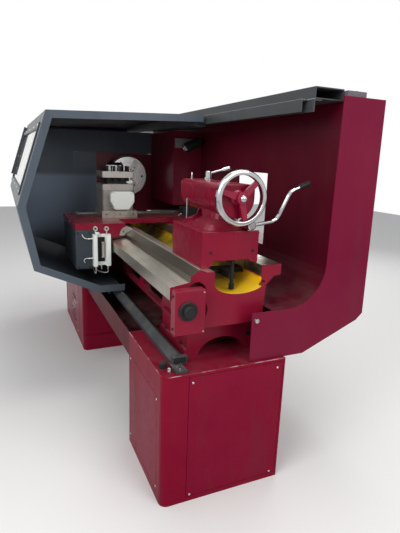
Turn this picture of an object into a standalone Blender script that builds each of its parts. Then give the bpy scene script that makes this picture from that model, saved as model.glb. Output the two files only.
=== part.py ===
"""Flat-bed CNC turning lathe, built piece by piece in metres with +Z up.

X runs along the spindle towards the tailstock, Y runs to the rear and the operator stands at -Y.
The origin is on the floor at the middle of the machine's length and depth. Inside the script a
place is given as the distance from the tailstock end, the distance behind the cabinets' front,
and the height above the floor.
"""

import math

import bmesh
import bpy
from mathutils import Matrix, Vector

# Whole machine
MACHINE_LENGTH = 2.45
DOOR_REACH = 0.411
GUARD_REACH = 0.895
GAP = 0.0003

# Cabinets and chip tray
CABINET_HEIGHT = 0.54
CABINET_DEPTH = 0.512
CABINET_CORNER = 0.03
RIGHT_CABINET_LENGTH = 0.45
LEFT_CABINET_LENGTH = 0.83
LEFT_CABINET_FRONT = -0.03
END_DOOR_DEPTH = 0.12
DRIVE_END = MACHINE_LENGTH - END_DOOR_DEPTH
LEFT_CABINET_START = DRIVE_END - LEFT_CABINET_LENGTH
CABINET_WALL = 0.02
PLINTH_HEIGHT = 0.10
PLINTH_STEP = 0.012
COVER_SHEET = 0.003
COVER_SEAM = 0.002
TRAY_DEPTH = 0.11
TRAY_SHEET = 0.004
LOUVRE_COUNT = 5
LOUVRE_PITCH = 0.042
LOUVRE_LENGTH = 0.20
LOUVRE_HEIGHT = 0.014

# Bed casting
BED_START = 0.07
BED_RISE = 0.365
BED_TOP = CABINET_HEIGHT + BED_RISE
BED_HEIGHT = 0.285
BED_BOTTOM = BED_TOP - BED_HEIGHT
BED_FRONT = 0.16
BED_REAR = 0.44
BED_WALL = 0.03
WAY_FRONT = 0.046
WAY_EDGE_Z = BED_TOP - 0.057
WAY_INNER = 0.122
WAY_INNER_Z = BED_TOP - 0.044
WAY_FLANGE_Z = BED_TOP - 0.105
RIDGE_FRONT_Z = BED_TOP - 0.024
RIDGE_Y = 0.160
RIDGE_REAR = 0.189
SEAT_Z = BED_TOP - 0.012
REAR_WAY_EDGE = 0.505
REAR_WAY_BOTTOM = BED_TOP - 0.042
REAR_WALL_TOP = BED_TOP - 0.080
MOUTH_FRONT = 0.219
MOUTH_REAR = 0.418
LIP_Z = BED_TOP - 0.047
LIP_OVERHANG = 0.029
TROUGH_BOTTOM = BED_TOP - 0.115
NOTCH_TOP = BED_TOP - 0.060
NOTCH_BOTTOM = BED_TOP - 0.105
BAY_COUNT = 3
BAY_WALL = 0.03
BAY_TOP = BED_TOP - 0.153
CHUTE_MARGIN = 0.07
FOOT_SETBACK = 0.135
FOOT_LENGTH = 0.29
END_WALL = 0.02
WINDOW_MARGIN = 0.015
WINDOW_RADIUS = 0.055
WINDOW_Z = BED_TOP - 0.215

# Spindle line and belt drive
SPINDLE_Y = 0.316
CENTRE_HEIGHT = 0.252
SPINDLE_Z = BED_TOP + CENTRE_HEIGHT
SPINDLE_RADIUS = 0.055
BAR_BORE = 0.026
CHUCK_DEPTH = 0.085
CHUCK_RADIUS = 0.13
JAW_WIDTH = 0.034
JAW_SLOT_DEPTH = 0.022
JAW_HEIGHT = 0.045
JAW_INNER = 0.048
JAW_OUTER = 0.118
JAW_ANGLES = (60.0, 180.0, 300.0)
HEADSTOCK_LENGTH = 0.54
HEADSTOCK_START = DRIVE_END - HEADSTOCK_LENGTH
CHUCK_FACE = HEADSTOCK_START - 0.13
HEADSTOCK_FRONT = 0.03
HEADSTOCK_REAR = 0.50
HEADSTOCK_TOP = BED_TOP + 0.455
SCREEN_TOP = HEADSTOCK_TOP - 0.054
CORNER_START = HEADSTOCK_START - 0.46
CORNER_TOP = HEADSTOCK_TOP + 0.09
LAMP_RADIUS = 0.028
SPINDLE_PULLEY_RADIUS = 0.10
MOTOR_PULLEY_RADIUS = 0.06
MOTOR_Z = CABINET_HEIGHT - 0.29
MOTOR_RADIUS = 0.095
MOTOR_LENGTH = 0.30
BELT_WIDTH = 0.042
BELT_THICKNESS = 0.009
PULLEY_WIDTH = 0.052

# Feed screws
Z_SCREW_Y = 0.098
Z_SCREW_Z = BED_TOP - 0.135
BRACKET_THICKNESS = 0.045
Z_SCREW_RADIUS = 0.016
NUT_RADIUS = 0.026
X_SCREW_RADIUS = 0.010

# Carriage and turret
SADDLE_START = 0.98
SADDLE_LENGTH = 0.48
SADDLE_FRONT = -0.14
SADDLE_REAR = 0.56
SADDLE_TOP = BED_TOP + 0.035
BRIDGE_START = 1.15
BRIDGE_LENGTH = 0.26
DOVETAIL_HEIGHT = 0.018
TURRET_START = 1.19
TURRET_SIZE = 0.18
TURRET_FRONT = 0.045
SLIDE_LENGTH_Y = 0.205
SLIDE_TOP = SADDLE_TOP + 0.04
TURRET_BODY_TOP = SLIDE_TOP + 0.12
TURRET_TOP = TURRET_BODY_TOP + 0.102
APRON_BOTTOM = BED_TOP - 0.205
OILER_FRONT = -0.055
OILER_REAR = 0.035
OILER_BOTTOM = BED_TOP - 0.185
OILER_TOP = BED_TOP - 0.017

# Tailstock
TAILSTOCK_START = 0.126
TAILSTOCK_LENGTH = 0.314
TAILSTOCK_FRONT = 0.19
TAILSTOCK_REAR = 0.43
TAILSTOCK_BASE_TOP = BED_TOP + 0.125
BARREL_START = 0.105
BARREL_END = 0.50
BARREL_TOP = SPINDLE_Z + 0.048
BARREL_HALF_WIDTH = 0.071
QUILL_RADIUS = 0.0325
QUILL_OUT = 0.03
WHEEL_PLACE = 0.08
WHEEL_RADIUS = 0.1025
WHEEL_RIM_DEPTH = 0.026
WHEEL_RIM_WIDTH = 0.019
WHEEL_HUB_RADIUS = 0.022
SPOKE_ANGLES = (43.0, 163.0, 283.0)
LOCK_PLACE = 0.37
CLAMP_PLACE = 0.11
CLAMP_Y = 0.382
CLAMP_Z = TAILSTOCK_BASE_TOP + 0.022
STUD_PLACE = 0.15
STUD_Y = 0.332
PLATE_PLACE = 0.235

# Guard, rails and door
GUARD_SHEET = 0.004
GUARD_WALL = 0.705
GUARD_TOP = BED_TOP + 0.615
GUARD_LEAN = 0.018
GUARD_CURVE = 0.16
GUARD_SHELF_Z = BED_TOP - 0.165
GUARD_SKIRT_Z = CABINET_HEIGHT + 0.112
END_PLATE_PLACE = 0.013
END_PLATE_LIP = 0.027
END_PLATE_FRONT = 0.354
VIEW_OPENING = (0.53, 1.13, BED_TOP - 0.019, BED_TOP + 0.328)
RAIL_FRONT = 0.575
RAIL_START = 0.049
RAIL_BOTTOM = GUARD_TOP - 0.005
RAIL_TOP = RAIL_BOTTOM + 0.042
TRACK_FRONT = 0.545
TRACK_REAR = 0.580
TRACK_BOTTOM = RAIL_BOTTOM - 0.045
TRACK_LIP_START = 0.088
TRACK_WALL = 0.006
DOOR_LENGTH = 1.43
DOOR_START = DRIVE_END - DOOR_LENGTH
DOOR_SHEET = 0.003
DOOR_FLANGE = 0.036
DOOR_FRONT = 0.522
DOOR_TOP = RAIL_BOTTOM - 0.001
DOOR_BOTTOM = CABINET_HEIGHT + 0.051
DOOR_PROFILE = ((DOOR_FRONT, DOOR_TOP), (-0.266, DOOR_TOP - 0.032), (-DOOR_REACH, BED_TOP + 0.136),
                (-0.353, BED_TOP - 0.175), (-0.038, DOOR_BOTTOM), (0.097, DOOR_BOTTOM))
DOOR_WINDOW = (0.15, 0.86, 0.10, 1.33)
GLASS_THICKNESS = 0.004
FRAME_WIDTH = 0.030
HANGER_BOTTOM = TRACK_BOTTOM - 0.012
WHEEL_Z = TRACK_BOTTOM + 0.022

END_X = MACHINE_LENGTH / 2
FRONT_Y = (DOOR_REACH - GUARD_REACH) / 2

FINISHES = {
    "burgundy": ((0.235, 0.008, 0.030), 0.35, 0.0),
    "slate": ((0.085, 0.105, 0.130), 0.45, 0.0),
    "dark_steel": ((0.030, 0.032, 0.036), 0.50, 0.6),
    "ground_steel": ((0.42, 0.40, 0.36), 0.30, 1.0),
    "chrome": ((0.75, 0.75, 0.76), 0.10, 1.0),
    "black": ((0.012, 0.012, 0.013), 0.45, 0.0),
    "white": ((0.78, 0.80, 0.76), 0.45, 0.0),
    "grey": ((0.24, 0.24, 0.23), 0.55, 0.3),
    "glass": ((0.60, 0.62, 0.60), 0.08, 0.0),
    "rubber": ((0.015, 0.015, 0.015), 0.85, 0.0),
}


def place(from_end, from_front, height):
    """Turn machine distances into a point of the model's frame."""
    return Vector((END_X - from_end, FRONT_Y + from_front, height))


def finish(name):
    """Return the Principled material of one finish, made on first use."""
    material = bpy.data.materials.get(name)
    if material is None:
        colour, roughness, metallic = FINISHES[name]
        material = bpy.data.materials.new(name)
        material.use_nodes = True
        shader = material.node_tree.nodes["Principled BSDF"]
        shader.inputs["Base Color"].default_value = (*colour, 1.0)
        shader.inputs["Roughness"].default_value = roughness
        shader.inputs["Metallic"].default_value = metallic
        material.diffuse_color = (*colour, 1.0)
    return material


def body(name, mesh_data, finish_name="burgundy", smooth=False):
    """Wrap a bmesh as a named object with outward faces."""
    bmesh.ops.remove_doubles(mesh_data, verts=mesh_data.verts, dist=1e-6)
    bmesh.ops.recalc_face_normals(mesh_data, faces=mesh_data.faces)
    mesh = bpy.data.meshes.new(name)
    mesh_data.to_mesh(mesh)
    mesh_data.free()
    piece = bpy.data.objects.new(name, mesh)
    bpy.context.scene.collection.objects.link(piece)
    mesh.materials.append(finish(finish_name))
    if smooth:
        mesh.shade_smooth()
        mesh.set_sharp_from_angle(angle=math.radians(35))
    return piece


def apply_modifiers(piece):
    """Keep what the modifiers make, as the piece's own mesh."""
    bpy.context.view_layer.update()
    graph = bpy.context.evaluated_depsgraph_get()
    made = bpy.data.meshes.new_from_object(piece.evaluated_get(graph))
    piece.modifiers.clear()
    piece.data = made


def combine(piece, operation, tools):
    """Run one Boolean per tool on the piece and remove the tools."""
    for tool in tools:
        step = piece.modifiers.new(operation.lower(), "BOOLEAN")
        step.operation = operation
        step.solver = "EXACT"
        step.object = tool
        apply_modifiers(piece)
        bpy.data.objects.remove(tool)
    return piece


def carve(piece, *cutters):
    return combine(piece, "DIFFERENCE", cutters)


def fuse(piece, *others):
    return combine(piece, "UNION", others)


def soften(piece, width, segments=2, angle=40):
    """Round the sharp edges of a casting."""
    step = piece.modifiers.new("edges", "BEVEL")
    step.width = width
    step.segments = segments
    step.limit_method = "ANGLE"
    step.angle_limit = math.radians(angle)
    apply_modifiers(piece)
    return piece


def set_origin(piece, point):
    """Put the piece's origin on its joint without moving the piece."""
    piece.data.transform(Matrix.Translation(-Vector(point)))
    piece.location = point
    return piece


def rounded(points, radii, steps=4):
    """Return an outline whose corners are arcs; a radius of 0 keeps a corner sharp."""
    outline = []
    count = len(points)
    for index, corner in enumerate(points):
        corner = Vector(corner)
        radius = radii[index] if isinstance(radii, (list, tuple)) else radii
        if radius <= 0:
            outline.append(tuple(corner))
            continue
        before = (Vector(points[index - 1]) - corner).normalized()
        after = (Vector(points[(index + 1) % count]) - corner).normalized()
        half = before.angle(after) / 2
        centre = corner + (before + after).normalized() * (radius / math.sin(half))
        start = corner + before * (radius / math.tan(half)) - centre
        stop = corner + after * (radius / math.tan(half)) - centre
        sweep = start.angle_signed(stop)
        for step in range(steps + 1):
            turn = -sweep * step / steps
            outline.append((centre.x + start.x * math.cos(turn) - start.y * math.sin(turn),
                            centre.y + start.x * math.sin(turn) + start.y * math.cos(turn)))
    return outline


def arc(centre, radius, start, stop, steps, flatten=1.0):
    """Return points along an arc in degrees; flatten squeezes its height to an ellipse."""
    turns = [math.radians(start + (stop - start) * step / steps) for step in range(steps + 1)]
    return [(centre[0] + radius * math.cos(turn), centre[1] + radius * flatten * math.sin(turn))
            for turn in turns]


def slot_outline(start, stop, level, radius, steps=10):
    """Return the outline of a slot with round ends that runs level from start to stop."""
    return (arc((start + radius, level), radius, 90, 270, steps)
            + arc((stop - radius, level), radius, -90, 90, steps))


def rectangle(low_a, high_a, low_b, high_b):
    return [(low_a, low_b), (high_a, low_b), (high_a, high_b), (low_a, high_b)]


def prism(outline, axis, start, stop):
    """Extrude an outline. X outlines are (front, height), Y ones (end, height), Z ones (end, front)."""
    layers = []
    shape = bmesh.new()
    for level in (start, stop):
        ring = []
        for first, second in outline:
            spot = {"X": (level, first, second), "Y": (first, level, second),
                    "Z": (first, second, level)}[axis]
            ring.append(shape.verts.new(place(*spot)))
        layers.append(ring)
    shape.faces.new(layers[0])
    shape.faces.new(list(reversed(layers[1])))
    for index in range(len(outline)):
        follow = (index + 1) % len(outline)
        shape.faces.new((layers[0][index], layers[1][index], layers[1][follow], layers[0][follow]))
    return shape


def block(end_range, front_range, height_range):
    return prism(rectangle(*end_range, *front_range), "Z", *height_range)


def turned(profile, centre, axis, segments=32, ring=False):
    """Spin (distance along the axis, radius) points about an axis through the centre point."""
    direction = {"X": Vector((1, 0, 0)), "Y": Vector((0, 1, 0)), "Z": Vector((0, 0, 1))}[axis]
    side = {"X": Vector((0, 1, 0)), "Y": Vector((0, 0, 1)), "Z": Vector((1, 0, 0))}[axis]
    return spun(profile, centre, direction, side, segments, ring)


def spun(profile, centre, direction, side, segments=32, ring=False):
    """Spin a profile about any direction; a ring closes the profile on itself round a bore."""
    across = direction.cross(side)
    shape = bmesh.new()
    rows = []
    for along, radius in profile:
        middle = Vector(centre) + direction * along
        if radius == 0:
            rows.append([shape.verts.new(middle)])
            continue
        row = []
        for step in range(segments):
            turn = 2 * math.pi * (step + 0.5) / segments
            row.append(shape.verts.new(
                middle + side * (radius * math.cos(turn)) + across * (radius * math.sin(turn))))
        rows.append(row)
    pairs = list(zip(rows, rows[1:]))
    if ring:
        pairs.append((rows[-1], rows[0]))
    for first, second in pairs:
        for step in range(segments):
            follow = (step + 1) % segments
            if len(first) == 1:
                shape.faces.new((first[0], second[step], second[follow]))
            elif len(second) == 1:
                shape.faces.new((first[step], first[follow], second[0]))
            else:
                shape.faces.new((first[step], first[follow], second[follow], second[step]))
    if not ring:
        for row in (rows[0], rows[-1]):
            if len(row) > 1:
                shape.faces.new(row)
    return shape


def disc(start, stop, radius, centre, axis, segments=32):
    return turned([(start, radius), (stop, radius)], centre, axis, segments)


def tube(start, stop, outer, inner, centre, axis, segments=32):
    return turned([(start, outer), (stop, outer), (stop, inner), (start, inner)],
                  centre, axis, segments, ring=True)


def clear_radius(radius, segments=32):
    """Return the radius of a faceted hole that clears a round piece by the usual gap."""
    return (radius + GAP) / math.cos(math.pi / segments)


def offset_path(points, distance):
    """Return an open polyline moved sideways, to its left, by the distance."""
    moved = []
    for index, point in enumerate(points):
        point = Vector(point)
        before = Vector(points[index - 1]) if index > 0 else None
        after = Vector(points[index + 1]) if index < len(points) - 1 else None
        normals = []
        for start, stop in ((before, point), (point, after)):
            if start is not None and stop is not None:
                run = (stop - start).normalized()
                normals.append(Vector((-run.y, run.x)))
        bend = sum(normals, Vector((0, 0))).normalized()
        moved.append(tuple(point + bend * (distance / bend.dot(normals[0]))))
    return moved


def rod(points, radius, segments=12):
    """Sweep a round bar along a bent path of points of the model's frame."""
    path = [Vector(point) for point in points]
    shape = bmesh.new()
    rows = []
    side = None
    for index, point in enumerate(path):
        before = path[max(index - 1, 0)]
        after = path[min(index + 1, len(path) - 1)]
        run = ((after - point).normalized() + (point - before).normalized()).normalized()
        if side is None:
            side = run.orthogonal().normalized()
        side = (side - run * side.dot(run)).normalized()
        across = run.cross(side)
        rows.append([shape.verts.new(point + side * (radius * math.cos(2 * math.pi * step / segments))
                                     + across * (radius * math.sin(2 * math.pi * step / segments)))
                     for step in range(segments)])
    for first, second in zip(rows, rows[1:]):
        for step in range(segments):
            follow = (step + 1) % segments
            shape.faces.new((first[step], first[follow], second[follow], second[step]))
    shape.faces.new(rows[0])
    shape.faces.new(rows[-1])
    return shape


def build_right_cabinet():
    """Welded sheet cabinet under the tailstock end with its two screwed covers."""
    length = RIGHT_CABINET_LENGTH
    outline = rounded(rectangle(0.0, length, 0.0, CABINET_DEPTH), [CABINET_CORNER, 0.0, 0.0, 0.0])
    cabinet = body("right_cabinet", prism(outline, "Z", 0.0, CABINET_HEIGHT))
    end_cover = ((0.10, CABINET_DEPTH - 0.008), (0.02, CABINET_HEIGHT - 0.012))
    front_cover = ((0.06, length - 0.012), (0.03, CABINET_HEIGHT - 0.10))
    carve(cabinet,
          body("cut", block((-0.01, COVER_SHEET), *end_cover)),
          body("cut", block(front_cover[0], (-0.01, COVER_SHEET), front_cover[1])))
    inset = [[(low + COVER_SEAM, high - COVER_SEAM) for low, high in cover]
             for cover in (end_cover, front_cover)]
    body("right_end_cover", block((0.0, COVER_SHEET - GAP), *inset[0]))
    body("right_front_cover", block(inset[1][0], (0.0, COVER_SHEET - GAP), inset[1][1]))


def build_left_cabinet():
    """Hollow cabinet under the headstock; the belt end is open and the front has louvres."""
    front = LEFT_CABINET_FRONT
    upper = rounded(rectangle(LEFT_CABINET_START + PLINTH_STEP, DRIVE_END, front, CABINET_DEPTH),
                    [CABINET_CORNER, 0.0, 0.0, 0.0])
    cabinet = body("left_cabinet", prism(upper, "Z", PLINTH_HEIGHT, CABINET_HEIGHT))
    lower = rounded(rectangle(LEFT_CABINET_START, DRIVE_END, front, CABINET_DEPTH),
                    [CABINET_CORNER, 0.0, 0.0, 0.0])
    fuse(cabinet, body("plinth", prism(lower, "Z", 0.0, PLINTH_HEIGHT + 0.001)))
    wall = CABINET_WALL
    cover_ends = (LEFT_CABINET_START + 0.22, DRIVE_END - 0.05)
    cover_heights = (0.04, CABINET_HEIGHT - 0.04)
    carve(cabinet,
          body("cut", block((LEFT_CABINET_START + 0.05, DRIVE_END + 0.01),
                            (front + wall, CABINET_DEPTH - wall), (wall, CABINET_HEIGHT - wall))),
          body("cut", block(cover_ends, (front - 0.01, front + COVER_SHEET), cover_heights)),
          body("cut", block((cover_ends[0] + wall, cover_ends[1] - wall), (front - 0.01, front + wall + 0.01),
                            (cover_heights[0] + wall, cover_heights[1] - wall))))
    cover = body("left_front_cover", block(
        (cover_ends[0] + COVER_SEAM, cover_ends[1] - COVER_SEAM), (front, front + COVER_SHEET - GAP),
        (cover_heights[0] + COVER_SEAM, cover_heights[1] - COVER_SEAM)))
    first = cover_ends[0] + 0.10
    for row in range(LOUVRE_COUNT):
        level = cover_heights[0] + 0.06 + row * LOUVRE_PITCH
        outline = slot_outline(first, first + LOUVRE_LENGTH, level, LOUVRE_HEIGHT / 2, 4)
        carve(cover, body("cut", prism(outline, "Y", front - 0.01, front + 0.02)))


def build_chip_tray():
    """Folded trough with a deep front skirt that hangs between the two cabinets."""
    ends = (RIGHT_CABINET_LENGTH + GAP, LEFT_CABINET_START - GAP)
    sheet = TRAY_SHEET
    tray = body("chip_tray", block(ends, (0.0, CABINET_DEPTH),
                                   (CABINET_HEIGHT - TRAY_DEPTH, CABINET_HEIGHT)))
    carve(tray, body("cut", block((ends[0] + sheet, ends[1] - sheet), (sheet, CABINET_DEPTH - sheet),
                                  (CABINET_HEIGHT - TRAY_DEPTH + sheet, CABINET_HEIGHT + 0.01))))


def build_bed():
    """Cast bed: flat front way, ridge way and flat rear way over a trough; windowed box, two feet."""
    middle = (BED_FRONT + BED_REAR) / 2
    section = [(BED_FRONT, BED_BOTTOM), (BED_REAR - 0.01, BED_BOTTOM), (BED_REAR, REAR_WALL_TOP),
               (REAR_WAY_EDGE - 0.03, REAR_WAY_BOTTOM - 0.004), (REAR_WAY_EDGE, REAR_WAY_BOTTOM),
               (REAR_WAY_EDGE, BED_TOP), (middle, BED_TOP), (middle, SEAT_Z), (RIDGE_REAR, SEAT_Z),
               (RIDGE_Y, BED_TOP), (WAY_INNER + 0.002, RIDGE_FRONT_Z), (WAY_INNER, WAY_INNER_Z),
               (WAY_FRONT, WAY_EDGE_Z), (WAY_FRONT, WAY_FLANGE_Z), (BED_FRONT - 0.012, WAY_FLANGE_Z),
               (BED_FRONT, WAY_FLANGE_Z - 0.02)]
    bed = body("bed", prism(section, "X", BED_START, DRIVE_END - 0.02))
    foot_section = rectangle(BED_FRONT - 0.015, BED_REAR + 0.035, CABINET_HEIGHT + GAP, BED_BOTTOM + 0.03)
    ledge_section = rectangle(BED_FRONT - 0.026, CABINET_DEPTH, CABINET_HEIGHT + GAP, CABINET_HEIGHT + 0.032)
    right = (FOOT_SETBACK, FOOT_SETBACK + FOOT_LENGTH)
    left = (LEFT_CABINET_START + 0.03, DRIVE_END - 0.03)
    for start, stop in (right, left):
        fuse(bed, body("foot", prism(foot_section, "X", start, stop)))
        fuse(bed, body("ledge", prism(ledge_section, "X", start, stop)))

    def opening(front, rear, top, half_start, half_stop, bottom):
        """Return a cut that is straight above and an ellipse below, narrower at the top where lips stay."""
        centre, half = (half_start + half_stop) / 2, (half_stop - half_start) / 2
        return ([(front, BED_TOP + 0.01), (front, top)]
                + arc((centre, top), half, 180, 360, 16, (top - bottom) / half)
                + [(rear, top), (rear, BED_TOP + 0.01)])

    rear_half = MOUTH_REAR + 0.020
    trough = opening(MOUTH_FRONT, MOUTH_REAR, LIP_Z, MOUTH_FRONT - LIP_OVERHANG, rear_half, TROUGH_BOTTOM)
    notch = opening(MOUTH_FRONT, MOUTH_REAR, NOTCH_TOP, MOUTH_FRONT + 0.001, rear_half, NOTCH_BOTTOM)
    trough_stop = HEADSTOCK_START - 0.05
    arch = arc((middle - 0.005, CABINET_HEIGHT - 0.01), 0.105, 0, 180, 12, 0.72)
    carve(bed,
          body("cut", prism(trough, "X", BED_START + END_WALL, trough_stop)),
          body("cut", prism(notch, "X", BED_START - 0.01, BED_START + END_WALL + 0.005)),
          body("cut", block((BED_START - 0.01, FOOT_SETBACK), (0.0, BED_REAR + 0.16),
                            (CABINET_HEIGHT - 0.04, BED_BOTTOM + 0.06))),
          body("cut", prism(arch, "X", BED_START, FOOT_SETBACK + 0.215)),
          body("cut", disc(-BED_START - 0.05, -BED_START + 0.01, 0.037,
                           place(0.0, 0.150, BED_TOP - 0.082), "X", 24)),
          body("cut", disc(-BED_START - 0.05, -BED_START + 0.01, 0.048,
                           place(0.0, 0.147, BED_TOP - 0.155), "X", 24)))
    pitch = (left[0] - right[1] - BAY_WALL) / BAY_COUNT
    inside = (BED_FRONT + BED_WALL, BED_REAR - BED_WALL - 0.01)
    for bay in range(BAY_COUNT):
        start = right[1] + BAY_WALL + bay * pitch
        stop = start + pitch - BAY_WALL
        window = slot_outline(start + WINDOW_MARGIN, stop - WINDOW_MARGIN, WINDOW_Z, WINDOW_RADIUS)
        carve(bed,
              body("cut", block((start, stop), inside, (BED_BOTTOM - 0.01, BAY_TOP))),
              body("cut", block((start + CHUTE_MARGIN, stop - CHUTE_MARGIN),
                                (middle - 0.05, middle + 0.05), (BAY_TOP - 0.01, BAY_TOP + 0.06))),
              body("cut", prism(window, "Y", BED_FRONT - 0.01, inside[0] + 0.005)),
              body("cut", prism(window, "Y", inside[1] - 0.005, BED_REAR + 0.02)))


def build_feed_screw():
    """Bracket, cap and motor that carry the long screw under the front way."""
    centre = place(0.0, Z_SCREW_Y, Z_SCREW_Z)
    face = BED_START - BRACKET_THICKNESS
    bracket = body("feed_bracket", block((face, BED_START - GAP), (Z_SCREW_Y - 0.048, Z_SCREW_Y + 0.068),
                                         (Z_SCREW_Z - 0.09, WAY_EDGE_Z - 0.004)))
    soften(bracket, 0.002, 1)
    hole = clear_radius(Z_SCREW_RADIUS)
    carve(bracket, body("cut", disc(-BED_START - 0.01, -BED_START + 0.05, hole, centre, "X")))
    seat = GAP - face
    body("feed_bracket_cap", turned([(seat, 0.0), (seat, 0.035), (seat + 0.006, 0.035),
                                     (seat + 0.008, 0.033), (seat + 0.008, 0.022),
                                     (seat + 0.021, 0.022), (seat + 0.024, 0.019), (seat + 0.024, 0.0)],
                                    centre, "X", 36), "dark_steel", True)
    far = HEADSTOCK_START - 0.03
    motor = body("feed_motor", block((far, far + 0.24), (Z_SCREW_Y - 0.048, BED_FRONT - 0.0125),
                                     (Z_SCREW_Z - 0.06, WAY_FLANGE_Z - GAP)), "black")
    soften(motor, 0.004, 1)
    carve(motor, body("cut", disc(-far - 0.04, -far + 0.01, hole, centre, "X")))
    screw = body("z_screw", turned([(-far - 0.039, 0.0), (-far - 0.039, Z_SCREW_RADIUS),
                                    (-BED_START + 0.030, Z_SCREW_RADIUS), (-BED_START + 0.033, 0.0)],
                                   centre, "X", 24), "ground_steel", True)
    set_origin(screw, place((BED_START + far) / 2, Z_SCREW_Y, Z_SCREW_Z))


def build_headstock():
    """Headstock casting with its bearing cover, the sheet guard behind the chuck and the end door."""
    centre = place(0.0, SPINDLE_Y, SPINDLE_Z)
    outline = rounded(rectangle(HEADSTOCK_START, DRIVE_END, HEADSTOCK_FRONT, HEADSTOCK_REAR), 0.025)
    headstock = body("headstock", prism(outline, "Z", BED_TOP + GAP, HEADSTOCK_TOP))
    lid = rounded(rectangle(HEADSTOCK_START + 0.03, DRIVE_END - 0.03, HEADSTOCK_FRONT + 0.03,
                            HEADSTOCK_REAR - 0.03), 0.02)
    fuse(headstock,
         body("lid", prism(lid, "Z", HEADSTOCK_TOP - 0.005, HEADSTOCK_TOP + 0.012)),
         body("nose", disc(-HEADSTOCK_START - 0.01, -HEADSTOCK_START + 0.014, 0.088, centre, "X", 48)))
    bore = clear_radius(SPINDLE_RADIUS, 48)
    carve(headstock, body("cut", disc(-DRIVE_END - 0.01, -HEADSTOCK_START + 0.03, bore, centre, "X", 48)))
    guard_face = (HEADSTOCK_START - 0.006, HEADSTOCK_START - GAP)
    guard = body("headstock_guard", block(guard_face, (-0.02, HEADSTOCK_REAR + 0.03),
                                            (BED_TOP + 0.004, SCREEN_TOP)))
    fuse(guard, body("corner", block((CORNER_START, guard_face[1]), (HEADSTOCK_REAR + 0.02, GUARD_WALL - GAP),
                                     (SADDLE_TOP + 0.055, CORNER_TOP))))
    fuse(guard, body("closing", block(guard_face, (HEADSTOCK_REAR + 0.02, GUARD_WALL - GAP),
                                      (BED_TOP + 0.004, SADDLE_TOP + 0.06))))
    carve(guard, body("cut", disc(-HEADSTOCK_START - 0.01, -HEADSTOCK_START + 0.02, 0.092, centre, "X", 48)))
    inside = offset_path(DOOR_PROFILE, DOOR_FLANGE + 0.006)
    screen = [(HEADSTOCK_REAR + 0.02 - GAP, HANGER_BOTTOM - 0.006), *inside[1:5], (-0.02 - GAP, inside[4][1]),
              (-0.02 - GAP, SCREEN_TOP + GAP), (HEADSTOCK_REAR + 0.02 - GAP, SCREEN_TOP + GAP)]
    body("door_screen", prism(screen, "X", *guard_face), "slate")
    door = body("end_door", block((DRIVE_END + GAP, MACHINE_LENGTH), (0.02, HEADSTOCK_REAR),
                                  (PLINTH_HEIGHT, HEADSTOCK_TOP)))
    soften(door, 0.004, 2)
    wall = 0.006
    carve(door, body("cut", block((DRIVE_END - 0.01, MACHINE_LENGTH - wall),
                                  (0.02 + wall, HEADSTOCK_REAR - wall),
                                  (PLINTH_HEIGHT + wall, HEADSTOCK_TOP - wall))))
    set_origin(door, place(DRIVE_END, HEADSTOCK_REAR, (PLINTH_HEIGHT + HEADSTOCK_TOP) / 2))


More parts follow.
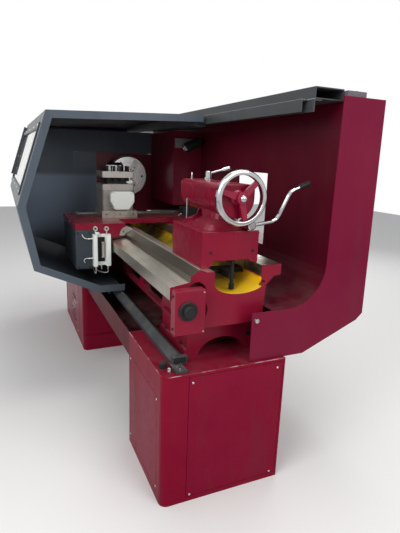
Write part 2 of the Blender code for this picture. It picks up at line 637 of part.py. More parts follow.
def build_spindle():
    """Hollow spindle with chuck, three jaws and the belt drive to the motor in the cabinet."""
    centre = place(0.0, SPINDLE_Y, SPINDLE_Z)
    chuck_back = CHUCK_FACE + CHUCK_DEPTH
    spindle = body("spindle", turned(
        [(-chuck_back - GAP, BAR_BORE), (-chuck_back - GAP, 0.075), (-HEADSTOCK_START + 0.016, 0.075),
         (-HEADSTOCK_START + 0.016, SPINDLE_RADIUS), (-DRIVE_END - 0.075, SPINDLE_RADIUS),
         (-DRIVE_END - 0.075, BAR_BORE)], centre, "X", 48, ring=True), "ground_steel", True)
    set_origin(spindle, place(HEADSTOCK_START, SPINDLE_Y, SPINDLE_Z))
    chuck = body("chuck", turned(
        [(-CHUCK_FACE, 0.036), (-CHUCK_FACE, CHUCK_RADIUS - 0.004), (-CHUCK_FACE - 0.004, CHUCK_RADIUS),
         (-CHUCK_FACE - 0.055, CHUCK_RADIUS), (-CHUCK_FACE - 0.060, CHUCK_RADIUS - 0.006),
         (-chuck_back, CHUCK_RADIUS - 0.006), (-chuck_back, 0.036)], centre, "X", 64, ring=True),
        "ground_steel", True)
    for angle in JAW_ANGLES:
        turn = Matrix.Rotation(math.radians(angle), 4, "X")
        around = Matrix.Translation(centre) @ turn @ Matrix.Translation(-centre)
        slot = block((CHUCK_FACE - 0.01, CHUCK_FACE + JAW_SLOT_DEPTH),
                     (SPINDLE_Y + 0.02, SPINDLE_Y + CHUCK_RADIUS + 0.02),
                     (SPINDLE_Z - JAW_WIDTH / 2 - GAP, SPINDLE_Z + JAW_WIDTH / 2 + GAP))
        bmesh.ops.transform(slot, matrix=around, verts=slot.verts)
        carve(chuck, body("cut", slot))
        step = (JAW_OUTER - JAW_INNER) / 3
        near = CHUCK_FACE - JAW_HEIGHT
        profile = [(CHUCK_FACE + JAW_SLOT_DEPTH - GAP, SPINDLE_Y + JAW_INNER),
                   (near, SPINDLE_Y + JAW_INNER), (near, SPINDLE_Y + JAW_INNER + step),
                   (near + 0.015, SPINDLE_Y + JAW_INNER + step),
                   (near + 0.015, SPINDLE_Y + JAW_INNER + 2 * step),
                   (near + 0.030, SPINDLE_Y + JAW_INNER + 2 * step),
                   (near + 0.030, SPINDLE_Y + JAW_OUTER),
                   (CHUCK_FACE + JAW_SLOT_DEPTH - GAP, SPINDLE_Y + JAW_OUTER)]
        jaw = prism(profile, "Z", SPINDLE_Z - JAW_WIDTH / 2, SPINDLE_Z + JAW_WIDTH / 2)
        bmesh.ops.transform(jaw, matrix=around, verts=jaw.verts)
        body(f"chuck_jaw_{JAW_ANGLES.index(angle) + 1}", jaw, "ground_steel")
    set_origin(chuck, place(CHUCK_FACE, SPINDLE_Y, SPINDLE_Z))
    drive = DRIVE_END + 0.012
    pulley_bore = clear_radius(SPINDLE_RADIUS, 48)
    pulley = body("spindle_pulley", tube(-drive - PULLEY_WIDTH, -drive, SPINDLE_PULLEY_RADIUS, pulley_bore,
                                         centre, "X", 48), "grey", True)
    set_origin(pulley, place(drive, SPINDLE_Y, SPINDLE_Z))
    motor_centre = place(0.0, SPINDLE_Y, MOTOR_Z)
    shaft = 0.014
    motor = body("main_motor", turned(
        [(-DRIVE_END + 0.02, 0.0), (-DRIVE_END + 0.02, MOTOR_RADIUS + 0.01),
         (-DRIVE_END + 0.035, MOTOR_RADIUS + 0.01), (-DRIVE_END + 0.035, MOTOR_RADIUS),
         (-DRIVE_END + MOTOR_LENGTH, MOTOR_RADIUS), (-DRIVE_END + MOTOR_LENGTH + 0.01, 0.08),
         (-DRIVE_END + MOTOR_LENGTH + 0.01, 0.0)], motor_centre, "X", 32), "grey")
    fuse(motor,
         body("base", block((DRIVE_END - MOTOR_LENGTH, DRIVE_END - 0.04),
                            (SPINDLE_Y - 0.11, SPINDLE_Y + 0.11),
                            (CABINET_WALL + GAP, CABINET_WALL + 0.02))),
         body("stand", block((DRIVE_END - MOTOR_LENGTH + 0.03, DRIVE_END - 0.07),
                             (SPINDLE_Y - 0.06, SPINDLE_Y + 0.06), (CABINET_WALL + 0.01, MOTOR_Z))))
    pulley = body("motor_pulley", turned(
        [(-drive - PULLEY_WIDTH, 0.0), (-drive - PULLEY_WIDTH, MOTOR_PULLEY_RADIUS),
         (-drive, MOTOR_PULLEY_RADIUS), (-drive, shaft), (-DRIVE_END + 0.02 - GAP, shaft),
         (-DRIVE_END + 0.02 - GAP, 0.0)], motor_centre, "X", 40), "grey", True)
    set_origin(pulley, place(drive, SPINDLE_Y, MOTOR_Z))
    middle = drive + PULLEY_WIDTH / 2
    belt = (middle - BELT_WIDTH / 2, middle + BELT_WIDTH / 2)
    lean = math.degrees(math.asin((SPINDLE_PULLEY_RADIUS - MOTOR_PULLEY_RADIUS) / (SPINDLE_Z - MOTOR_Z)))

    def loop(extra):
        upper = arc((SPINDLE_Y, SPINDLE_Z), SPINDLE_PULLEY_RADIUS + extra, -lean, 180 + lean, 30)
        lower = arc((SPINDLE_Y, MOTOR_Z), MOTOR_PULLEY_RADIUS + extra, 180 + lean, 360 - lean, 20)
        return upper + lower

    band = body("drive_belt", prism(loop(2 * GAP + BELT_THICKNESS), "X", *belt), "rubber", True)
    carve(band, body("cut", prism(loop(2 * GAP), "X", belt[0] - 0.01, belt[1] + 0.01)))


def build_carriage():
    """Saddle astride the bed with apron, ball nut, lubricator, cross slide and four-way turret."""
    ends = (SADDLE_START, SADDLE_START + SADDLE_LENGTH)
    wing_bottom, skirt_bottom = SADDLE_TOP - 0.030, WAY_FLANGE_Z + 0.01
    front_wing = [(SADDLE_FRONT, wing_bottom), (-0.02, wing_bottom), (-0.02, skirt_bottom),
                  (WAY_FRONT - GAP, skirt_bottom),
                  (WAY_FRONT - GAP, WAY_EDGE_Z + 2 * GAP), (WAY_INNER - 2 * GAP, WAY_INNER_Z + 2 * GAP),
                  (WAY_INNER - 2 * GAP, SADDLE_TOP), (SADDLE_FRONT, SADDLE_TOP)]
    saddle = body("saddle", prism(front_wing, "X", *ends))
    rear_start = MOUTH_REAR + 0.022
    hook = REAR_WAY_EDGE + 0.025
    rear_wing = [(rear_start, BED_TOP + GAP), (REAR_WAY_EDGE + GAP, BED_TOP + GAP),
                 (REAR_WAY_EDGE + GAP, REAR_WAY_BOTTOM), (hook, REAR_WAY_BOTTOM), (hook, SADDLE_TOP - 0.04),
                 (SADDLE_REAR, SADDLE_TOP - 0.04), (SADDLE_REAR, SADDLE_TOP), (rear_start, SADDLE_TOP)]
    fuse(saddle, body("wing", prism(rear_wing, "X", ends[0] + 0.04, ends[1])))
    bridge = (BRIDGE_START, BRIDGE_START + BRIDGE_LENGTH)
    fuse(saddle, body("bridge", block(bridge, (SADDLE_FRONT + 0.01, SADDLE_REAR - 0.01),
                                      (BED_TOP + 0.008, SADDLE_TOP - 0.0005))))
    middle = BRIDGE_START + BRIDGE_LENGTH / 2
    root, crest = 0.055, 0.065
    dovetail = [(middle - root, SADDLE_TOP - 0.004), (middle + root, SADDLE_TOP - 0.004),
                (middle + crest, SADDLE_TOP + DOVETAIL_HEIGHT),
                (middle - crest, SADDLE_TOP + DOVETAIL_HEIGHT)]
    fuse(saddle, body("dovetail", prism(dovetail, "Y", -0.09, 0.52)))
    screw_z = SADDLE_TOP + 0.004
    channel = X_SCREW_RADIUS + 0.008
    carve(saddle, body("cut", block((middle - channel, middle + channel), (-0.08, SADDLE_REAR + 0.01),
                                    (screw_z - channel, SADDLE_TOP + 0.05))))
    x_centre = place(middle, 0.0, screw_z)
    screw = body("x_screw", disc(-0.075, SADDLE_REAR, X_SCREW_RADIUS, x_centre, "Y", 20),
                 "ground_steel", True)
    set_origin(screw, place(middle, 0.25, screw_z))
    motor = body("x_motor", block((middle - 0.045, middle + 0.045), (SADDLE_REAR + GAP, SADDLE_REAR + 0.12),
                                  (screw_z - 0.035, screw_z + 0.045)), "black")
    soften(motor, 0.004, 1)

    apron_ends = (SADDLE_START, SADDLE_START + 0.44)
    apron = body("apron", block(apron_ends, (SADDLE_FRONT, -0.02 - GAP), (APRON_BOTTOM, wing_bottom - GAP)),
                 "slate")
    soften(apron, 0.006, 2)
    nut_ends = (SADDLE_START + 0.17, SADDLE_START + 0.27)
    z_centre = place(0.0, Z_SCREW_Y, Z_SCREW_Z)
    fuse(apron, body("nut_bracket", block((nut_ends[0] + 0.03, nut_ends[1]), (-0.05, Z_SCREW_Y + 0.045),
                                          (Z_SCREW_Z - 0.05, WAY_FLANGE_Z - 0.002))))
    nut_hole = clear_radius(NUT_RADIUS)
    carve(apron, body("cut", disc(-nut_ends[1] - 0.01, -nut_ends[0], nut_hole, z_centre, "X")))
    body("ball_nut", tube(-nut_ends[1], -nut_ends[0], NUT_RADIUS, clear_radius(Z_SCREW_RADIUS + 0.0005),
                          z_centre, "X"), "ground_steel", True)
    back = SADDLE_START - GAP
    channel_section = [(back - 0.035, OILER_FRONT), (back - 0.035, OILER_FRONT + 0.020),
                       (back - 0.006, OILER_FRONT + 0.026), (back - 0.006, OILER_REAR - 0.026),
                       (back - 0.035, OILER_REAR - 0.020), (back - 0.035, OILER_REAR),
                       (back, OILER_REAR), (back, OILER_FRONT)]
    reservoir = body("lubricator", prism(channel_section, "Z", OILER_BOTTOM, OILER_TOP), "white")
    outline = slot_outline(OILER_BOTTOM + 0.035, OILER_TOP - 0.035, (OILER_FRONT + OILER_REAR) / 2, 0.007, 6)
    slot = [(front, height) for height, front in outline]
    carve(reservoir, body("cut", prism(slot, "X", back - 0.01, back + 0.01)))

    slide_ends = (TURRET_START, TURRET_START + TURRET_SIZE + 0.02)
    slide_fronts = (TURRET_FRONT - 0.003, TURRET_FRONT - 0.003 + SLIDE_LENGTH_Y)
    slide = body("cross_slide", block(slide_ends, slide_fronts, (SADDLE_TOP + GAP, SLIDE_TOP)),
                 "ground_steel")
    groove = [(middle - root - 2 * GAP, SADDLE_TOP - 0.005), (middle + root + 2 * GAP, SADDLE_TOP - 0.005),
              (middle + crest + 2 * GAP, SADDLE_TOP + DOVETAIL_HEIGHT + GAP),
              (middle - crest - 2 * GAP, SADDLE_TOP + DOVETAIL_HEIGHT + GAP)]
    carve(slide, body("cut", prism(groove, "Y", -0.2, 0.7)))
    nut_front = slide_fronts[0] + SLIDE_LENGTH_Y / 2
    fuse(slide, body("nut", block((middle - channel + GAP, middle + channel - GAP),
                                  (nut_front - 0.03, nut_front + 0.03),
                                  (screw_z - channel + GAP, SADDLE_TOP + DOVETAIL_HEIGHT + 0.005))))
    carve(slide, body("cut", disc(-0.2, 0.7, clear_radius(X_SCREW_RADIUS, 20), x_centre, "Y", 20)))
    turret_fronts = (TURRET_FRONT, TURRET_FRONT + TURRET_SIZE)
    turret_ends = (TURRET_START, TURRET_START + TURRET_SIZE)
    base_outline = rounded(rectangle(*turret_ends, *turret_fronts), 0.012, 3)
    body("turret_base", prism(base_outline, "Z", SLIDE_TOP + GAP, TURRET_BODY_TOP), "grey")
    low, high = SLIDE_TOP + 0.012, TURRET_BODY_TOP - 0.007
    near, far = TURRET_FRONT + 0.039, TURRET_FRONT + 0.173
    cover = [(near, low + 0.028), (near + 0.012, low), (far - 0.012, low), (far, low + 0.028),
             (far, high - 0.015), (far - 0.015, high), (near + 0.015, high), (near, high - 0.015)]
    octagon = body("turret_motor_cover", prism(cover, "X", TURRET_START - 0.045, TURRET_START - GAP), "white")
    soften(octagon, 0.004, 2, 60)
    turret_middle = place(TURRET_START + TURRET_SIZE / 2, TURRET_FRONT + TURRET_SIZE / 2, 0.0)
    head_outline = rounded(rectangle(*turret_ends, *turret_fronts), 0.004, 1)
    seat_z, plate_z = TURRET_BODY_TOP + 0.031, TURRET_TOP - 0.034
    head = body("turret_head", prism(head_outline, "Z", TURRET_BODY_TOP + GAP, seat_z), "ground_steel")
    waist = 0.034
    fuse(head,
         body("core", block((turret_ends[0] + waist, turret_ends[1] - waist),
                            (turret_fronts[0] + waist, turret_fronts[1] - waist),
                            (seat_z - 0.006, plate_z + 0.007))),
         body("plate", prism(head_outline, "Z", plate_z, TURRET_TOP)))
    for side in range(4):
        turn = Matrix.Translation(turret_middle) @ Matrix.Rotation(side * math.pi / 2, 4, "Z")
        turn = turn @ Matrix.Translation(-turret_middle)
        for spot in (-0.058, -0.019, 0.019, 0.058):
            bolt = disc(plate_z - 0.018, TURRET_TOP + 0.026, 0.0075,
                        turret_middle + Vector((TURRET_SIZE / 2 - 0.016, spot, 0.0)), "Z", 8)
            bmesh.ops.transform(bolt, matrix=turn, verts=bolt.verts)
            if abs(spot) < 0.05 or side % 2 == 0:
                fuse(head, body("bolt", bolt))
    set_origin(head, turret_middle + Vector((0, 0, TURRET_BODY_TOP)))
    cap = body("turret_cap", turned([(TURRET_TOP + GAP, 0.0), (TURRET_TOP + GAP, 0.052),
                                     (TURRET_TOP + 0.034, 0.052), (TURRET_TOP + 0.044, 0.046),
                                     (TURRET_TOP + 0.049, 0.030), (TURRET_TOP + 0.049, 0.0)],
                                    turret_middle, "Z", 36), "chrome", True)
    set_origin(cap, turret_middle + Vector((0, 0, TURRET_TOP)))


def build_tailstock():
    """Tailstock: base box, barrel casting on a waisted neck, quill, handwheel and its two levers."""
    ends = (TAILSTOCK_START, TAILSTOCK_START + TAILSTOCK_LENGTH)
    centre = place(0.0, SPINDLE_Y, SPINDLE_Z)
    relief = BED_TOP + 0.012
    base_section = [(TAILSTOCK_FRONT, SEAT_Z + GAP), (MOUTH_FRONT + 0.004, SEAT_Z + GAP),
                    (MOUTH_FRONT + 0.020, relief), (MOUTH_REAR - 0.030, relief),
                    (MOUTH_REAR - 0.012, BED_TOP + GAP), (TAILSTOCK_REAR, BED_TOP + GAP),
                    (TAILSTOCK_REAR, TAILSTOCK_BASE_TOP), (TAILSTOCK_FRONT, TAILSTOCK_BASE_TOP)]
    base = body("tailstock_base", prism(base_section, "X", *ends))
    soften(base, 0.003, 2, 60)
    stud_place = place(STUD_PLACE, STUD_Y, 0.0)
    carve(base, body("cut", disc(BED_TOP - 0.01, TAILSTOCK_BASE_TOP - 0.03, 0.012, stud_place, "Z", 20)))

    half = BARREL_HALF_WIDTH
    drop = SPINDLE_Z - 0.007
    section = (rounded([(SPINDLE_Y - half, drop), (SPINDLE_Y - half, BARREL_TOP),
                        (SPINDLE_Y + half, BARREL_TOP), (SPINDLE_Y + half, drop)],
                       [0.0, 0.018, 0.018, 0.0])[:-1]
               + arc((SPINDLE_Y, drop), half, 0, -180, 16)[:-1])
    barrel = body("tailstock_body", prism(section, "X", BARREL_START, BARREL_END))
    soften(barrel, 0.004, 2, 60)
    neck_z = TAILSTOCK_BASE_TOP + 0.036
    neck_rings = ((drop - 0.03, 0.185, 0.395, 0.052), (drop - 0.06, 0.19, 0.39, 0.046),
                  (neck_z, 0.185, 0.395, 0.050), (neck_z - 0.018, 0.160, 0.420, 0.080),
                  (TAILSTOCK_BASE_TOP + GAP, 0.145, 0.43, 0.100))
    neck = bmesh.new()
    rows = []
    for height, start, stop, width in neck_rings:
        outline = rounded(rectangle(start, stop, SPINDLE_Y - width, SPINDLE_Y + width), 0.04, 5)
        rows.append([neck.verts.new(place(*spot, height)) for spot in outline])
    for first, second in zip(rows, rows[1:]):
        for index in range(len(first)):
            follow = (index + 1) % len(first)
            neck.faces.new((first[index], first[follow], second[follow], second[index]))
    neck.faces.new(rows[0])
    neck.faces.new(rows[-1])
    fuse(barrel, body("neck", neck))
    clamp_boss = disc(-ends[0] - 0.05, -ends[0] + 0.002, 0.019, place(0.0, CLAMP_Y, CLAMP_Z), "X", 24)
    fuse(barrel, body("boss", clamp_boss))
    carve(barrel,
          body("cut", disc(-BARREL_END - 0.01, -BARREL_START - 0.03, clear_radius(QUILL_RADIUS, 36), centre,
                           "X", 36)),
          body("cut", disc(-BARREL_START - 0.04, -BARREL_START + 0.01, 0.0135, centre, "X", 24)),
          body("cut", disc(SPINDLE_Y - 0.12, SPINDLE_Y + 0.12, 0.026,
                           place(0.335, 0.0, neck_z), "Y", 24)))
    barrel.data.shade_smooth()
    barrel.data.set_sharp_from_angle(angle=math.radians(30))

    quill = body("quill", turned(
        [(-BARREL_START - 0.16, 0.0), (-BARREL_START - 0.16, QUILL_RADIUS),
         (-BARREL_END - QUILL_OUT + 0.002, QUILL_RADIUS), (-BARREL_END - QUILL_OUT, QUILL_RADIUS - 0.002),
         (-BARREL_END - QUILL_OUT, 0.018), (-BARREL_END + 0.04, 0.014), (-BARREL_END + 0.04, 0.0)],
        centre, "X", 36), "ground_steel", True)
    set_origin(quill, place(BARREL_END, SPINDLE_Y, SPINDLE_Z))
    stud_bottom = TROUGH_BOTTOM + 0.005
    plate_heights = (LIP_Z - 0.020, LIP_Z - GAP)
    stud = body("clamp_stud", disc(stud_bottom, TAILSTOCK_BASE_TOP - 0.032, 0.0075, stud_place, "Z", 16),
                "black", True)
    fuse(stud, body("nut", disc(stud_bottom + 0.003, stud_bottom + 0.023, 0.0125, stud_place, "Z", 6)),
         body("arm", block((STUD_PLACE, PLATE_PLACE + 0.01), (STUD_Y - 0.012, STUD_Y + 0.012),
                           plate_heights)),
         body("plate", block((PLATE_PLACE, PLATE_PLACE + 0.05), (MOUTH_FRONT - 0.020, MOUTH_REAR + 0.012),
                             plate_heights)))

    hub = place(0.0, SPINDLE_Y, SPINDLE_Z)
    low, high = -WHEEL_PLACE - WHEEL_RIM_DEPTH / 2, -WHEEL_PLACE + WHEEL_RIM_DEPTH / 2
    inner = WHEEL_RADIUS - WHEEL_RIM_WIDTH
    rim_profile = rounded([(low, inner), (high, inner), (high, WHEEL_RADIUS), (low, WHEEL_RADIUS)],
                          [0.003, 0.003, 0.009, 0.009], 3)
    rim = body("handwheel_rim", turned(rim_profile, hub, "X", 56, ring=True), "chrome", True)
    set_origin(rim, place(WHEEL_PLACE, SPINDLE_Y, SPINDLE_Z))
    spider = body("handwheel_spider", turned(
        [(-BARREL_START + GAP, 0.0), (-BARREL_START + GAP, 0.030), (-BARREL_START + 0.010, 0.024),
         (-WHEEL_PLACE + 0.014, WHEEL_HUB_RADIUS), (-WHEEL_PLACE + 0.017, 0.018),
         (-WHEEL_PLACE + 0.017, 0.0)],
        hub, "X", 28), "burgundy", True)
    for angle in SPOKE_ANGLES:
        turn = Matrix.Rotation(math.radians(angle), 4, "X")
        around = Matrix.Translation(hub) @ turn @ Matrix.Translation(-hub)
        reach = inner * math.cos(math.pi / 56) - 3 * GAP
        spoke = prism([(SPINDLE_Y + 0.012, SPINDLE_Z - 0.013), (SPINDLE_Y + reach, SPINDLE_Z - 0.009),
                       (SPINDLE_Y + reach, SPINDLE_Z + 0.009), (SPINDLE_Y + 0.012, SPINDLE_Z + 0.013)],
                      "X", WHEEL_PLACE - 0.006, WHEEL_PLACE + 0.006)
        bmesh.ops.transform(spoke, matrix=around, verts=spoke.verts)
        fuse(spider, body("spoke", spoke))
    stem = disc(-BARREL_START - 0.15, -BARREL_START + 0.005, 0.0125, centre, "X", 20)
    fuse(spider, body("stem", stem))
    set_origin(spider, place(WHEEL_PLACE, SPINDLE_Y, SPINDLE_Z))

    lock = place(LOCK_PLACE, SPINDLE_Y, BARREL_TOP)
    lever = body("quill_lock_lever", turned([(GAP, 0.0), (GAP, 0.016), (0.006, 0.016), (0.008, 0.012),
                                             (0.034, 0.012), (0.037, 0.009), (0.037, 0.0)], lock, "Z", 24),
                 "chrome", True)
    grip_start = lock + Vector((0.0, 0.062, 0.042))
    fuse(lever, body("arm", rod([lock + Vector((0, 0.004, 0.027)), grip_start], 0.0045)))
    slant = (grip_start - lock - Vector((0, 0.004, 0.027))).normalized()
    fuse(lever, body("knob", spun([(-0.001, 0.0), (-0.001, 0.006), (0.012, 0.0085), (0.034, 0.0085),
                                   (0.041, 0.005), (0.042, 0.0)], grip_start, slant, Vector((1, 0, 0)), 16)))
    set_origin(lever, lock)

    clamp = place(CLAMP_PLACE, CLAMP_Y, CLAMP_Z)
    hub_length = TAILSTOCK_START - CLAMP_PLACE
    clamp_lever = body("clamp_lever", turned(
        [(-hub_length + 0.002 + GAP, 0.0), (-hub_length + 0.002 + GAP, 0.017), (0.007, 0.017), (0.010, 0.013),
         (0.010, 0.0)], clamp, "X", 24), "chrome", True)
    bend = [clamp, clamp + Vector((0, 0.092, 0.013)), clamp + Vector((0, 0.110, 0.022)),
            clamp + Vector((0, 0.121, 0.037)), clamp + Vector((0, 0.158, 0.112)),
            clamp + Vector((0, 0.168, 0.126)), clamp + Vector((0, 0.184, 0.136)),
            clamp + Vector((0, 0.203, 0.143))]
    fuse(clamp_lever, body("arm", rod(bend, 0.0075)))
    set_origin(clamp_lever, clamp)
    run = (bend[-1] - bend[-2]).normalized()
    grip = body("clamp_grip", spun([(GAP, 0.0), (GAP, 0.008), (0.008, 0.0105), (0.046, 0.0115),
                                    (0.054, 0.008),
                                    (0.055, 0.0)], bend[-1], run, Vector((1, 0, 0)), 18), "black", True)
    set_origin(grip, clamp)


def guard_section(wall, shelf_start, bottom_front, shelf_z, top, curve, back=GUARD_REACH):
    """Return the J outline of the rear guard: wall, swept corner, shelf and sloped back."""
    return ([(shelf_start, shelf_z)] + arc((wall - curve, shelf_z + curve), curve, -90, 0, 10)
            + [(wall, top), (back - GUARD_LEAN, top), (back, GUARD_SKIRT_Z + 0.028),
               (back - 0.03, GUARD_SKIRT_Z),
               (0.60, CABINET_HEIGHT + GAP), (bottom_front, CABINET_HEIGHT + GAP)])


def build_guard():
    """Double-walled rear guard with its through opening, end plates, rail, track and cable duct."""
    sheet = GUARD_SHEET
    start = END_PLATE_PLACE + sheet + GAP
    outline = guard_section(GUARD_WALL, BED_REAR + 0.0006, 0.52, GUARD_SHELF_Z, GUARD_TOP, GUARD_CURVE)
    outline += [(0.52, GUARD_SHELF_Z - sheet), (BED_REAR + 0.0006, GUARD_SHELF_Z - sheet)]
    guard = body("rear_guard", prism(outline, "X", start, DRIVE_END))
    hollow = ([(0.52 + sheet, GUARD_SHELF_Z - sheet)]
              + arc((GUARD_WALL - GUARD_CURVE, GUARD_SHELF_Z + GUARD_CURVE), GUARD_CURVE + sheet, -90, 0, 10)
              + [(GUARD_WALL + sheet, GUARD_TOP - sheet),
                 (GUARD_REACH - GUARD_LEAN - sheet, GUARD_TOP - sheet),
                 (GUARD_REACH - sheet, GUARD_SKIRT_Z + 0.030), (GUARD_REACH - 0.0315, GUARD_SKIRT_Z + 0.0035),
                 (0.598, CABINET_HEIGHT + sheet), (0.52 + sheet, CABINET_HEIGHT + sheet)])
    cavity = body("cavity", prism(hollow, "X", start + sheet, DRIVE_END + 0.01))
    near, far, low, high = VIEW_OPENING
    carve(cavity, body("cut", block((near - sheet, far + sheet), (0.6, 1.0), (low - sheet, high + sheet))))
    carve(guard, cavity, body("cut", block((near, far), (0.6, 1.0), (low, high))))
    plate = guard_section(GUARD_WALL - END_PLATE_LIP, END_PLATE_FRONT, END_PLATE_FRONT,
                          GUARD_SHELF_Z - 0.003, GUARD_TOP + 0.01,
                          GUARD_CURVE + 0.005)
    body("guard_end_plate", prism(plate, "X", END_PLATE_PLACE, END_PLATE_PLACE + sheet))

    rail = body("top_rail", block((RAIL_START, DRIVE_END), (RAIL_FRONT, GUARD_WALL - GAP),
                                  (RAIL_BOTTOM, RAIL_TOP)),
                "dark_steel")
    carve(rail, body("cut", block((0.0, DRIVE_END + 0.03), (RAIL_FRONT + sheet, GUARD_WALL - GAP - sheet),
                                  (RAIL_BOTTOM + sheet, RAIL_TOP - sheet))))
    track = body("door_track", block((RAIL_START + 0.003, DRIVE_END - 0.005),
                                     (TRACK_FRONT, TRACK_REAR + 0.03),
                                     (TRACK_BOTTOM, RAIL_BOTTOM - GAP)), "dark_steel")
    web = RAIL_BOTTOM - TRACK_WALL
    past = DRIVE_END + 0.03
    carve(track,
          body("cut", block((0.0, past), (TRACK_FRONT + TRACK_WALL, TRACK_REAR - TRACK_WALL),
                            (TRACK_BOTTOM - 0.01, web))),
          body("cut", block((0.0, past), (TRACK_REAR, TRACK_REAR + 0.05), (TRACK_BOTTOM - 0.01, web))),
          body("cut", block((0.0, TRACK_LIP_START), (TRACK_FRONT - 0.01, TRACK_REAR - TRACK_WALL - 0.001),
                            (TRACK_BOTTOM - 0.01, RAIL_BOTTOM + 0.01))))
    body("cable_duct", block((0.03, DRIVE_END - 0.05), (GUARD_WALL + 0.002, GUARD_WALL + 0.09),
                             (GUARD_TOP + GAP, GUARD_TOP + 0.032)), "slate")

    seat = CABINET_HEIGHT + GAP
    rail_section = [(0.062, seat), (0.130, seat), (0.130, seat + 0.006), (0.092, seat + 0.040),
                    (0.086, seat + 0.040), (0.062, seat + 0.016)]
    door_rail = body("door_rail", prism(rail_section, "X", 0.09, DRIVE_END - 0.01), "dark_steel")
    fuse(door_rail,
         body("foot", block((0.014, 0.096), (0.056, 0.100), (seat, seat + 0.008))),
         body("upstand", block((0.076, 0.096), (0.064, 0.122), (seat + 0.005, seat + 0.034))))
    body("rubber_stop", turned([(seat, 0.0), (seat, 0.015), (seat + 0.018, 0.014), (seat + 0.022, 0.010),
                                (seat + 0.022, 0.0)], place(0.082, 0.028, 0.0), "Z", 20), "rubber", True)


def build_lamp():
    """Work lamp that tilts on a bracket fixed to the corner panel."""
    face = CORNER_START
    pivot = place(face - 0.06, HEADSTOCK_REAR + 0.122, CORNER_TOP - 0.080)
    bracket = body("lamp_bracket", block((face - 0.020, face - GAP),
                                         (HEADSTOCK_REAR + 0.025, HEADSTOCK_REAR + 0.140),
                                         (CORNER_TOP - 0.100, CORNER_TOP - 0.045)), "grey")
    pin_end = -LAMP_RADIUS * math.cos(math.pi / 28) - GAP
    fuse(bracket, body("pin", disc(-0.045, pin_end, 0.008, pivot, "X", 16)))
    aim = Vector((0.0, -0.12, -0.048)).normalized()
    radius = LAMP_RADIUS
    lamp = body("lamp_barrel", spun([(-0.058, 0.0), (-0.058, radius - 0.008), (-0.052, radius - 0.002),
                                     (-0.030, radius), (0.058, radius), (0.058, radius - 0.004),
                                     (0.050, radius - 0.005), (0.050, 0.0)],
                                    pivot, aim, Vector((1, 0, 0)), 28), "dark_steel", True)
    set_origin(lamp, pivot)
    lens = body("lamp_lens", spun([(0.050 + GAP, 0.0), (0.050 + GAP, 0.0215), (0.054, 0.0215), (0.056, 0.010),
                                   (0.0565, 0.0)], pivot, aim, Vector((1, 0, 0)), 24), "glass", True)
    set_origin(lens, pivot)


def build_door():
    """Sliding door: folded shell with turned-in end flanges, window, frame, pull bar, hanger and guide."""
    outer = list(DOOR_PROFILE)
    ends = (DOOR_START, DOOR_START + DOOR_LENGTH)
    skin = outer + list(reversed(offset_path(outer, DOOR_SHEET)))
    shell = body("sliding_door", prism(skin, "X", *ends), "slate")
    flange = outer + list(reversed(offset_path(outer, DOOR_FLANGE)))
    for start in (ends[0], ends[1] - DOOR_SHEET):
        fuse(shell, body("flange", prism(flange, "X", start, start + DOOR_SHEET)))

    top, bottom = Vector(outer[1]), Vector(outer[2])
    run = bottom - top
    outward = Vector((run.y, -run.x)).normalized()

    def panel(low, high, near, far, start, stop):
        """Return a slab on the sloped panel between two shares of its height and two depths."""
        edge = [top + run * low + outward * start, top + run * high + outward * start,
                top + run * high + outward * stop, top + run * low + outward * stop]
        return prism([tuple(point) for point in edge], "X", ends[0] + near, ends[0] + far)

    low, high, near, far = DOOR_WINDOW
    margin = FRAME_WIDTH / run.length
    carve(shell, body("cut", panel(low, high, near, far, -0.02, 0.02)))
    frame = body("window_frame", panel(low - margin / 2, high + margin / 2, near - FRAME_WIDTH / 2,
                                       far + FRAME_WIDTH / 2, GAP, 0.007), "dark_steel")
    carve(frame, body("cut", panel(low + margin / 2, high - margin / 2, near + FRAME_WIDTH / 2,
                                   far - FRAME_WIDTH / 2, -0.02, 0.02)))
    small = GAP / run.length
    body("door_window", panel(low + small, high - small, near + GAP, far - GAP, -GLASS_THICKNESS, 0.0),
         "glass")
    body("door_pull", panel(0.05, 0.80, far + FRAME_WIDTH / 2 + 0.012, far + FRAME_WIDTH / 2 + 0.034,
                            GAP, 0.020), "dark_steel")

    slope = (outer[0][1] - outer[1][1]) / (outer[0][0] - outer[1][0])
    inner_z = outer[0][1] - DOOR_SHEET * math.sqrt(1 + slope * slope) - GAP
    fin = (TRACK_FRONT + TRACK_WALL + 0.008, TRACK_REAR - TRACK_WALL - 0.008)
    start, stop = DOOR_FRONT - 0.052, DOOR_FRONT - 0.007
    hanger_section = [(start, inner_z - (DOOR_FRONT - start) * slope), (start, HANGER_BOTTOM),
                      (fin[1], HANGER_BOTTOM), (fin[1], WHEEL_Z), (fin[0], WHEEL_Z),
                      (fin[0], HANGER_BOTTOM + 0.007), (stop, HANGER_BOTTOM + 0.007),
                      (stop, inner_z - (DOOR_FRONT - stop) * slope)]
    hanger = body("door_hanger", prism(hanger_section, "X", ends[0] + 0.06, ends[1] - 0.06), "dark_steel")
    for along in (0.12, DOOR_LENGTH - 0.12):
        wheel = disc(-0.0095, 0.0095, 0.010, place(ends[0] + along, sum(fin) / 2, WHEEL_Z), "Y", 20)
        fuse(hanger, body("wheel", wheel))
    bottom_z = outer[-1][1]
    foot_z = CABINET_HEIGHT + 0.006
    guide_section = [(0.020, bottom_z - GAP), (0.020, bottom_z - 0.010), (0.034, bottom_z - 0.010),
                     (0.034, foot_z), (0.042, foot_z), (0.042, bottom_z - GAP)]
    guide = body("door_guide", prism(guide_section, "X", ends[0] + 0.10, ends[1] - 0.10), "dark_steel")
    for along in (0.16, DOOR_LENGTH - 0.16):
        roller = disc(foot_z + 0.002, foot_z + 0.020, 0.010, place(ends[0] + along, 0.0515, 0.0), "Z", 20)
        fuse(guide, body("roller", roller))


